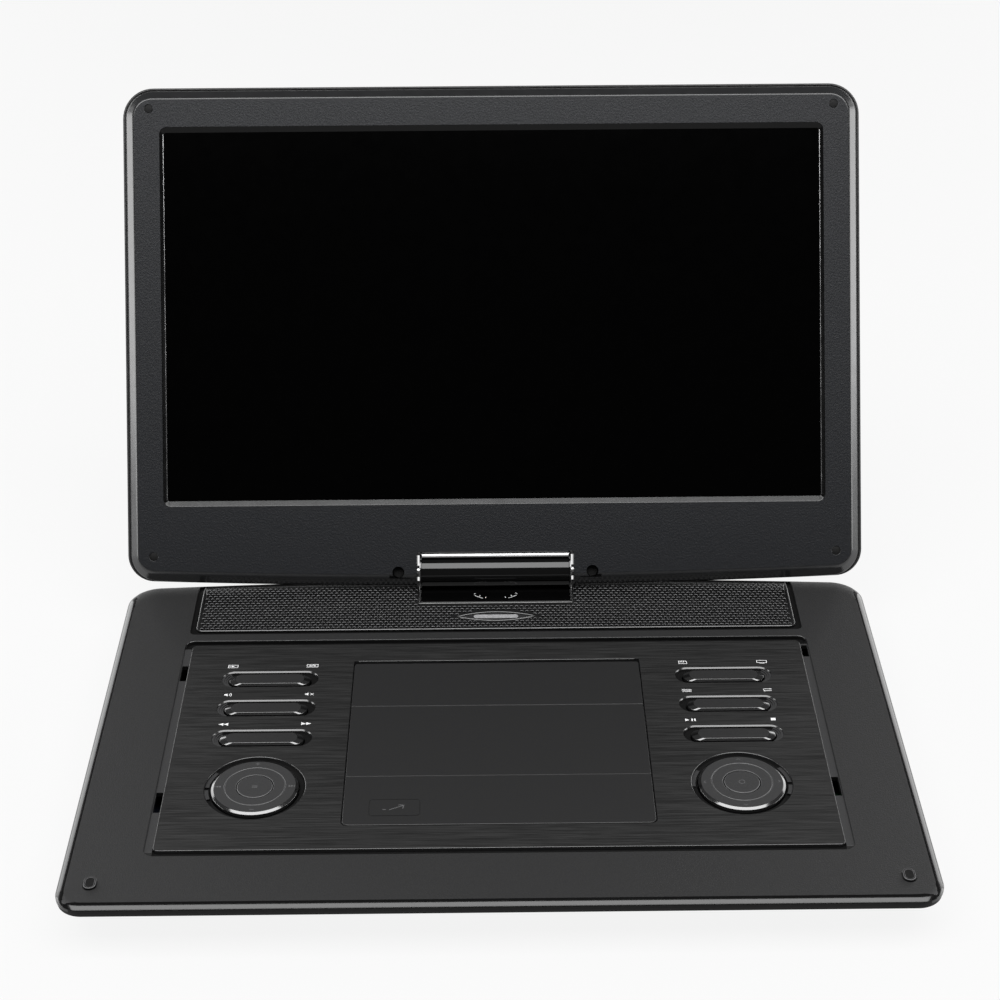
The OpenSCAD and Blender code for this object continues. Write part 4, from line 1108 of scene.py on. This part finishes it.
def bottom_case():
    """The lower case, with ports on its right side, screw holes, vents and a pocket for the hinge."""
    low = CASE_LOW_Z
    bm = loft(tub_levels(0.5, low, SEAM_Z))
    bm = boolean(bm, [loft(tub_levels(0.5 + TUB_WALL, low + TUB_WALL, 0))])
    x0, x1 = BASE_HALF_W - 6.5, BASE_HALF_W + 2.5
    cuts = [rod_x(4.1, x0, x1, y, PORT_Z) for y in ROUND_PORTS]
    cuts += [block((x0, y0, PORT_Z - half), (x1, y1, PORT_Z + half), 0.3) for y0, y1, half in FLAT_PORTS]
    hole = [(0.4, low - 1), (0.4, low + 0.1), (0, low + 0.5), (0, low + 3)]
    cuts += [stack(ring(x, y, 3.2, 32), hole) for x, y in SCREW_SPOTS]
    vent = [(0.3, low - 1), (0, low + 0.3), (0, low + 1.2)]
    for k in range(VENTS):
        cuts += [stack(pill(sx * 70, 150 + k * VENT_PITCH, 60, 2.2), vent) for _, sx in SIDES]
    bm = boolean(bm, cuts)
    bm = boolean(bm, [block((-32.4, AXIS_Y, -10.5), (32.4, AXIS_Y + 6.6, 0), 0)])
    post = [(1.7, low + 2), (4, low + 2), (4, -6.4), (1.7, -6.4)]
    bm = boolean(bm, [revolve(post, 32, spot) for spot in SCREW_SPOTS], "UNION")
    finished("case_bottom", bm, DECK, "base", ["lower"], ["bottom_case"])


def feet_and_bumpers():
    z = CASE_LOW_Z
    profile = [(0, z + 0.01), (7, z + 0.01), (7, z - 1.3), (6.85, z - 1.7), (6.4, z - 1.95), (5.9, z - 2),
               (4.3, z - 2), (4.1, z - 1.7), (3.7, z - 1.7), (3.5, z - 2), (0, z - 2)]
    feet = [revolve(profile, 64, (x, y)) for x in (-150, 150) for y in (62, 246)]
    finished("feet", merged(feet), DECK, "base", ["rubber"], ["rubber_feet"])
    low, high = local_box("deck_bumpers")
    levels = [(0, low.z), (0, high.z - 0.3)] + round_over(high.z, 0.3)
    levels += [(-0.7, high.z), (-0.9, high.z - 0.08)]
    pads = [stack(pill(sx * BUMPER_X, BUMPER_Y, 8, 5.5, True), levels) for _, sx in SIDES]
    # painted highlight: the bumpers' sloped top edges get the pale grey
    finished("bumpers", merged(pads), DECK, "base", ["rubber", "line"], ["deck_bumpers"],
             lambda c, n: 1 if 0.15 < n.z < 0.99 and c.z > high.z - 0.35 else 0)


# ---- screen housing ----

WALL = 5.5
LOW_HOLE_R = 3.0


def low_inset(z):
    """How far the housing's rounded bottom edge is set in at a height on its thickness."""
    return LID_FACE * (1 - math.cos(math.asin(min(1.0, abs(z) / LID_FACE))))


def notch_tool():
    """The room round the barrel, right through the housing."""
    r, half = BARREL_R + 0.4, BARREL_HALF_L + 1.4
    arc = [(r * math.sin(math.radians(a)), r * math.cos(math.radians(a))) for a in range(0, 181, 5)]
    outline = [(-20, 14), (r - 0.2, 14), (r - 0.2, 2.05)] + arc[16:] + [(-0.01, -14), (-20, -14)]
    return swept(outline, -half, half)


def housing_room(z0, z1):
    """A cutter for the space inside the housing."""
    return stack(rect(WALL - LID_HALF_W, 12, LID_HALF_W - WALL, LID_TOP - WALL, 10), [(0, z0), (0, z1)])


def bezel_pick(c, n):
    """Grain on the face and gloss round it; in the opening the up-facing side gets the lighter gloss as
    painted light, and the other sides and the low screw holes get black as painted shade.
    """
    below_face = c.z < LID_FACE - 0.03
    if c.z < LID_FACE - 0.01 and abs(c.x) < LCD_W / 2 + 3 and abs(c.y - LCD_MID) < LCD_H / 2 + 4:
        # painted light on the up-facing side, painted shade on the other sides
        return 1 if n.y > 0.3 else 2
    if below_face and any(math.hypot(c.x - x, c.y - y) < LOW_HOLE_R + 0.6 for x, y in LOW_SCREWS):
        # painted shade in the low screw holes
        return 2
    return 1 if below_face else 0


def screen_bezel():
    """The front of the housing, with a bevelled opening round the display."""
    levels = [(LID_SPLIT - 0.9, 2.0), (2.4, 2.0), (2.75, 2.08), (3.05, 2.28), (3.3, 2.5), (6.1, 5.35),
              (6.3, 5.6), (6.5, 5.9), (6.66, 6.25), (6.76, 6.6), (LID_FACE, 7.0)]
    bm = loft([at(z, lid_outline(side, min(low_inset(z), 6.3))) for z, side in levels])
    front = glass_high.z
    y0, y1 = LCD_MID - LCD_H / 2, LCD_MID + LCD_H / 2
    # how far the opening is grown along X and Y, its corner radius and its height
    steps = [(-0.5, -0.2, 1, front - 4), (-0.5, -0.2, 1, front), (1.45, 2.35, 3.8, LID_FACE - 0.12),
             (1.62, 2.52, 3.9, LID_FACE - 0.03), (1.85, 2.75, 4.1, LID_FACE + 0.02),
             (1.85, 2.75, 4.1, LID_FACE + 2)]
    opening = []
    for gx, gy, r, z in steps:
        opening.append(at(z, rect(-LCD_W / 2 - gx, y0 - gy, LCD_W / 2 + gx, y1 + gy, r)(0)))
    cuts = [loft(opening), notch_tool()]
    cuts += [well(ring(x, y, 2.25, 40), 4, LID_FACE, 0.25) for x, y in CORNER_SCREWS]
    cuts += [well(ring(x, y, LOW_HOLE_R, 48), LID_SPLIT - 2, LID_FACE, 0.3) for x, y in LOW_SCREWS]
    bm = boolean(boolean(bm, cuts), [housing_room(-6, front)])
    finished("bezel", bm, LID, "screen", ["bezel", "bevel", "opening"], ["screen_bezel"], bezel_pick)
    # painted highlight: bright silver strips at the glass's sides stand in for the light caught there
    seals = [block((x - 0.3, y0 + 1, front - 0.2), (x + 0.3, y1 - 1, front + 0.4), 0.15)
             for x in (-LCD_W / 2, LCD_W / 2)]
    finished("display_seal", merged(seals), LID, "screen", ["painted_highlight"])


def screen_back():
    """The back of the housing, rounded at its edges."""
    levels = [(LID_SPLIT - 1, 1.0), (LID_SPLIT - 0.1, 0.95), (LID_SPLIT, 0.8), (LID_SPLIT, 0.2),
              (LID_SPLIT - 0.2, 0.0), (0, 0.0), (-1.5, 0.0)]
    for i in range(1, 11):
        a = math.pi / 2 * i / 10
        levels.append((-1.5 - 5.3 * math.sin(a), 7 * (1 - math.cos(a))))
    rings = []
    for z, side in levels:
        low = min(low_inset(z), 6.2) + (0.6 * side if z > 0 else 0)
        rings.append(at(z, lid_outline(side, low)))
    bm = boolean(boolean(loft(rings), [housing_room(-4.8, 6)]), [notch_tool()])
    finished("back_shell", bm, LID, "screen", ["case"], ["screen_back"])


def lcd_panel():
    low, high = glass_low, glass_high
    bm = plate(rect(low.x, low.y, high.x, high.y, 1), low.z, high.z, 0.2)
    finished("display", bm, LID, "screen", ["lcd"], ["lcd_panel"])


def screw_plugs():
    low, high = local_box("screw_plugs", LID)
    r = 2.2
    profile = [(0, low.z), (r, low.z), (r, high.z - 0.3), (r - 0.1, high.z - 0.1), (r - 0.35, high.z),
               (0, high.z + 0.05)]
    plugs = [revolve(profile, 40, spot) for spot in CORNER_SCREWS]
    finished("plugs", merged(plugs), LID, "screen", ["rubber"], ["screw_plugs"])


# ---- icons ----


def ribbon(points, width, closed=False):
    """Quads of a stroke of even width."""
    out = []
    count = len(points)
    offs = []
    for i, p in enumerate(points):
        a = Vector(points[i - 1] if i or closed else p)
        b = Vector(points[(i + 1) % count] if i < count - 1 or closed else p)
        d1, d2 = Vector(p) - a, b - Vector(p)
        d1 = d1.normalized() if d1.length > 1e-6 else d2.normalized()
        d2 = d2.normalized() if d2.length > 1e-6 else d1
        t = (d1 + d2).normalized() if (d1 + d2).length > 1e-6 else d1
        n = Vector((-t.y, t.x)) * (width / 2 / max(0.5, t.dot(d1)))
        offs.append((Vector(p) + n, Vector(p) - n))
    last = count if closed else count - 1
    for i in range(last):
        (a, b), (c, d) = offs[i], offs[(i + 1) % count]
        out.append([a, b, d, c])
    return out


def box_line(w, h, width=0.32):
    return ribbon([(-w, -h), (w, -h), (w, h), (-w, h)], width, True)


def triangle(x, y, w, h):
    """A triangle that points along X, or back when its width is negative."""
    return [[(x - w / 2, y - h / 2), (x + w / 2, y), (x - w / 2, y + h / 2)]]


def bar(x, y, w, h):
    return [[(x - w / 2, y - h / 2), (x + w / 2, y - h / 2), (x + w / 2, y + h / 2), (x - w / 2, y + h / 2)]]


def three_bars(w, pitch):
    return bar(0, pitch, w, 0.3) + bar(0, 0, w, 0.3) + bar(0, -pitch, w, 0.3)


def sound_wave(r):
    return ribbon(arc_line(-0.3, 0, r, -50, 50), 0.34)


SPEAKER_ICON = [[(-2.3, -0.55), (-1.5, -0.55), (-0.5, -1.3), (-0.5, 1.3), (-1.5, 0.55), (-2.3, 0.55)]]


ICONS = {
    "source": box_line(2.6, 1.25) + triangle(0.1, 0, 1.7, 1.5) + bar(-1.6, 0, 1.3, 0.35),
    "captions": box_line(3.0, 1.3) + bar(-1.0, -0.45, 2.2, 0.4) + bar(1.4, -0.45, 1.3, 0.4)
                + bar(0, 0.4, 3.6, 0.4),
    "sound": SPEAKER_ICON + sound_wave(1.0) + sound_wave(1.9),
    "mute": SPEAKER_ICON + ribbon([(0.5, -0.9), (2.3, 0.9)], 0.36) + ribbon([(0.5, 0.9), (2.3, -0.9)], 0.36),
    "back": triangle(-1.4, 0, -2.6, 2.3) + triangle(1.2, 0, -2.6, 2.3),
    "ahead": triangle(-1.2, 0, 2.6, 2.3) + triangle(1.4, 0, 2.6, 2.3),
    "card": ribbon([(-2.2, -1.3), (2.2, -1.3), (2.2, 0.6), (1.4, 1.3), (-2.2, 1.3)], 0.34, True)
            + bar(-1.2, 0.45, 0.45, 0.9) + bar(-0.3, 0.45, 0.45, 0.9) + bar(0.6, 0.45, 0.45, 0.9),
    "screen": box_line(2.7, 1.1) + bar(0, -1.65, 2.8, 0.35),
    "setup": three_bars(5.2, 0.95) + bar(-1.2, 0.95, 0.7, 0.75) + bar(1.3, 0, 0.7, 0.75)
             + bar(-0.4, -0.95, 0.7, 0.75),
    "repeat": ribbon([(-2.2, 0.1), (-1.9, 0.85), (1.4, 0.85)], 0.34) + triangle(1.9, 0.85, 1.1, 1.2)
              + ribbon([(2.2, -0.1), (1.9, -0.85), (-1.4, -0.85)], 0.34) + triangle(-1.9, -0.85, -1.1, 1.2),
    "play": triangle(-2.0, 0, 2.3, 2.3) + bar(0.6, 0, 0.75, 2.2) + bar(2.1, 0, 0.75, 2.2),
    "stop": bar(0, 0, 2.5, 2.2),
    "plus": bar(0, 0, 2.4, 0.4) + bar(0, 0.78, 0.4, 1.15) + bar(0, -0.78, 0.4, 1.15),
    "minus": bar(0, 0, 2.4, 0.4),
    "previous": bar(-1.6, 0, 0.35, 1.8) + triangle(-0.4, 0, -1.5, 1.7) + triangle(1.1, 0, -1.5, 1.7),
    "next": bar(1.6, 0, 0.35, 1.8) + triangle(0.4, 0, 1.5, 1.7) + triangle(-1.1, 0, 1.5, 1.7),
    "menu": three_bars(2.8, 0.8),
    "up": ribbon([(-1.1, -0.5), (0, 0.6), (1.1, -0.5)], 0.3),
    "down": ribbon([(-1.1, 0.5), (0, -0.6), (1.1, 0.5)], 0.3),
    "west": ribbon([(0.5, -1.1), (-0.6, 0), (0.5, 1.1)], 0.3),
    "east": ribbon([(-0.5, -1.1), (0.6, 0), (-0.5, 1.1)], 0.3),
    "enter": ribbon(arc_line(0, 0, 1.5, 0, 345, 24), 0.3),
    "press": ribbon([(-3.4, -1.5), (3.2, 1.7)], 0.4) + ribbon([(0.7, 2.0), (3.3, 1.8), (2.7, -0.7)], 0.4)
             + bar(-5.6, -1.2, 1.6, 0.4),
}
KEY_ICONS = {
    ("left", "rear"): ("source", "captions"), ("left", "middle"): ("sound", "mute"),
    ("left", "front"): ("back", "ahead"), ("right", "rear"): ("card", "screen"),
    ("right", "middle"): ("setup", "repeat"), ("right", "front"): ("play", "stop"),
}
PAD_ICONS = {
    "left": {"up": "plus", "down": "minus", "west": "previous", "east": "next", "middle": "menu"},
    "right": {"up": "up", "down": "down", "west": "west", "east": "east", "middle": "enter"},
}
ICON_SHIFT = (-19.3, 20.3)
ICON_RISE = 11.8
SWIVEL_ARCS = [(228, 246), (294, 312)]


def ink(polygons, x, y, z, size=1.0, height=0.04):
    """Thin raised print made of the polygons of an icon."""
    bm = bmesh.new()
    for polygon in polygons:
        base = [bm.verts.new((x + p[0] * size, y + p[1] * size, z - 0.05)) for p in polygon]
        bm.faces.new(base)
    outward(bm)
    grown = bmesh.ops.extrude_face_region(bm, geom=bm.faces[:])
    for item in grown["geom"]:
        if isinstance(item, bmesh.types.BMVert):
            item.co.z += height + 0.05
    outward(bm)
    return bm


def icons():
    marks = []
    for (side, row), names in KEY_ICONS.items():
        x, y = key_centre(side, row)
        for name, shift in zip(names, ICON_SHIFT):
            marks.append(ink(ICONS[name], x + shift, y + ICON_RISE, PANEL_TOP, 0.9))
    finished("panel_icons", merged(marks), DECK, "base", ["print"])
    finished("door_icon", ink(ICONS["press"], -46.5, 63.3, door_high.z), DECK, "door", ["line"])
    reach = (PAD_LINE_R + PAD_R) / 2
    for side, sx in SIDES:
        x, names = sx * KEY_X, PAD_ICONS[side]
        spots = {"up": (0, reach), "down": (0, -reach), "west": (-reach, 0), "east": (reach, 0)}
        marks = [ink(ICONS[names[k]], x + a, PAD_Y + b, STAND, 0.8, 0.02) for k, (a, b) in spots.items()]
        finished(f"{side}_pad_icons", merged(marks), DECK, f"{side}_pad_ring", ["line"])
        finished(f"{side}_centre_icon", ink(ICONS[names["middle"]], x, PAD_Y, STAND - 0.1, 0.9, 0.03), DECK,
                 f"{side}_pad_button", ["line"])
    z = local_box("hinge_plate")[1].z
    marks = []
    for a0, a1 in SWIVEL_ARCS:
        marks.append(ink(ribbon(arc_line(0, AXIS_Y, 16.4, a0, a1), 0.3), 0, 0, z, 1, 0.02))
        middle = (a0 + a1) / 2
        for a in (middle - 13, middle, middle + 13):
            c, s = math.cos(math.radians(a)), math.sin(math.radians(a))
            tick = [(r * c, AXIS_Y + r * s) for r in (14.6, 15.8)]
            marks.append(ink(ribbon(tick, 0.3), 0, 0, z, 1, 0.02))
    finished("swivel_marks", merged(marks), DECK, "base", ["print"])


# ---- small parts ----


def door_spring():
    """A coil spring round the hinge pin, with one leg."""
    y, z = DOOR_AXIS.y, DOOR_AXIS.z
    turns, per_turn, r, wire, sides = 7, 20, 1.12, 0.2, 8
    last = turns * per_turn
    path = []
    for i in range(last + 1):
        a = 2 * math.pi * i / per_turn
        path.append(Vector((37.8 + 3.5 * i / last, y + r * math.cos(a), z + r * math.sin(a))))
    path += [Vector((41.35, y + r - 0.5 * k, z - 0.02 * k)) for k in range(1, 3)]
    rings = []
    for i, p in enumerate(path):
        a, b = path[max(0, i - 1)], path[min(len(path) - 1, i + 1)]
        rings.append(circle_about(p, (b - a).normalized(), Vector((1, 0, 0)), wire, sides))
    finished("hinge_spring", loft(rings), DECK, "base", ["steel"], ["door_spring"])


# the CAD parts that stay as they are, by finish
CARRIED = {
    "steel": ["traverse_deck", "sled_rails", "spindle_motor", "sled_motor", "usb_port", "card_slot",
              "swivel_bracket", "base_screws", "door_pins", "disc_hub", "lead_screw", "swivel_post",
              "swivel_retainer", "tilt_clips", "lcd_pan", "hinge_brackets", "tilt_shafts"],
    "board": ["main_pcb", "keypad_boards", "display_board"], "well": ["disc_well", "pickup_sled"],
    "gloss": ["headphone_jack", "dc_jack"], "jack_yellow": ["av_jack"], "cell_wrap": ["battery_pack"],
    "cone": ["speakers"], "rubber": ["deck_dampers"], "nylon": ["door_latch"], "lens": ["pickup_lens"],
    # the screen screws deep in their holes take the painted-shade black
    "key": ["power_knob"], "light_guide": ["light_guide"], "recess": ["screen_screws"],
}


def carried_nodes():
    """CAD parts that stay as they are get a finish and softened edges."""
    for key, nodes in CARRIED.items():
        for node in nodes:
            obj = frame["nodes"][node]
            obj.data.materials.clear()
            obj.data.materials.append(MAT[key])
            weld = obj.modifiers.new("weld", "WELD")
            weld.merge_threshold = 0.00001
            soften = obj.modifiers.new("soften", "BEVEL")
            soften.width, soften.segments, soften.limit_method = 0.00015, 2, "ANGLE"
            soften.angle_limit = math.radians(40)
            keep_flat(obj)


# ---------------------------------------------------------------- stage

CAMERA_AT = (-0.0047, -0.9142, 0.6431)
CAMERA_TURN = (0.43, 30.0, -0.30)  # to the right, down and rolled, in degrees
CAMERA_LENS = 78.5
FLOOR_GREY = 0.05
FLOOR_GLOW = 0.88
WORLD_LIGHT = 0.12


def camera():
    """The camera stands in front of the player and above it."""
    yaw, pitch, roll = (math.radians(a) for a in CAMERA_TURN)
    ahead = Vector((math.sin(yaw) * math.cos(pitch), math.cos(yaw) * math.cos(pitch), -math.sin(pitch)))
    level = Vector((math.cos(yaw), -math.sin(yaw), 0))
    above = level.cross(ahead)
    right = math.cos(roll) * level + math.sin(roll) * above
    up = math.cos(roll) * above - math.sin(roll) * level
    data = bpy.data.cameras.new("camera")
    data.lens, data.sensor_width = CAMERA_LENS, 36
    cam = bpy.data.objects.new("camera", data)
    turn = Matrix((right, up, -ahead)).transposed().to_4x4()
    cam.matrix_world = Matrix.Translation(CAMERA_AT) @ turn
    data.clip_end = 50
    SCENE.collection.objects.link(cam)
    SCENE.camera = cam


def softbox(name, at, target, width, height, radiance):
    """A rectangular light of a given brightness, facing a target."""
    data = bpy.data.lights.new(name, "AREA")
    data.shape, data.size, data.size_y = "RECTANGLE", width, height
    data.energy = radiance * math.pi * width * height
    light = bpy.data.objects.new(name, data)
    light.location = at
    light.rotation_euler = (Vector(target) - Vector(at)).to_track_quat("-Z", "Y").to_euler()
    SCENE.collection.objects.link(light)


def stage():
    data = bpy.data.meshes.new("floor")
    bm = bmesh.new()
    bm.faces.new([bm.verts.new((x, y, 0)) for x, y in ((-40, -40), (40, -40), (40, 40), (-40, 40))])
    bm.to_mesh(data)
    bm.free()
    data.shade_smooth()
    floor = bpy.data.objects.new("floor", data)
    SCENE.collection.objects.link(floor)
    m = Nodes("pale_floor")
    m.set(Base_Color=m.mix(m.between(m.noise(3), 0, 1), shade(FLOOR_GREY), shade(FLOOR_GREY * 1.02)),
          Roughness=0.9, Specular_IOR_Level=0.1, Emission_Color=(1, 1, 1, 1), Emission_Strength=FLOOR_GLOW)
    data.materials.append(m.material)
    world = bpy.data.worlds.new("studio")
    SCENE.world = world
    world.use_nodes = True
    back = world.node_tree.nodes["Background"]
    back.inputs["Color"].default_value = (1, 1, 1, 1)
    back.inputs["Strength"].default_value = WORLD_LIGHT
    middle = (0, 0, 0.05)
    softbox("overhead", (0, -0.46, 1.32), middle, 2.2, 0.92, 5.5)
    for sx in (-1, 1):
        softbox("back_panel", (sx * 1.15, 1.15, 0.35), middle, 1.0, 0.75, 3.0)
        softbox("side_panel", (sx * 1.35, 0.10, 0.28), middle, 1.0, 0.5, 5.0)


def main():
    camera()
    top_case()
    control_panel()
    disc_door()
    for side, sx in SIDES:
        for row in KEY_ROWS:
            rocker_key(side, row)
        pad_ring(side, sx)
        pad_button(side, sx)
        pad_dome(side, sx)
    speaker_grille()
    grille_badge()
    hinge_plate()
    hinge_barrel()
    bottom_case()
    feet_and_bumpers()
    screen_bezel()
    screen_back()
    lcd_panel()
    screw_plugs()
    icons()
    door_spring()
    carried_nodes()
    stage()
    SCENE.view_settings.view_transform = "Standard"


main()
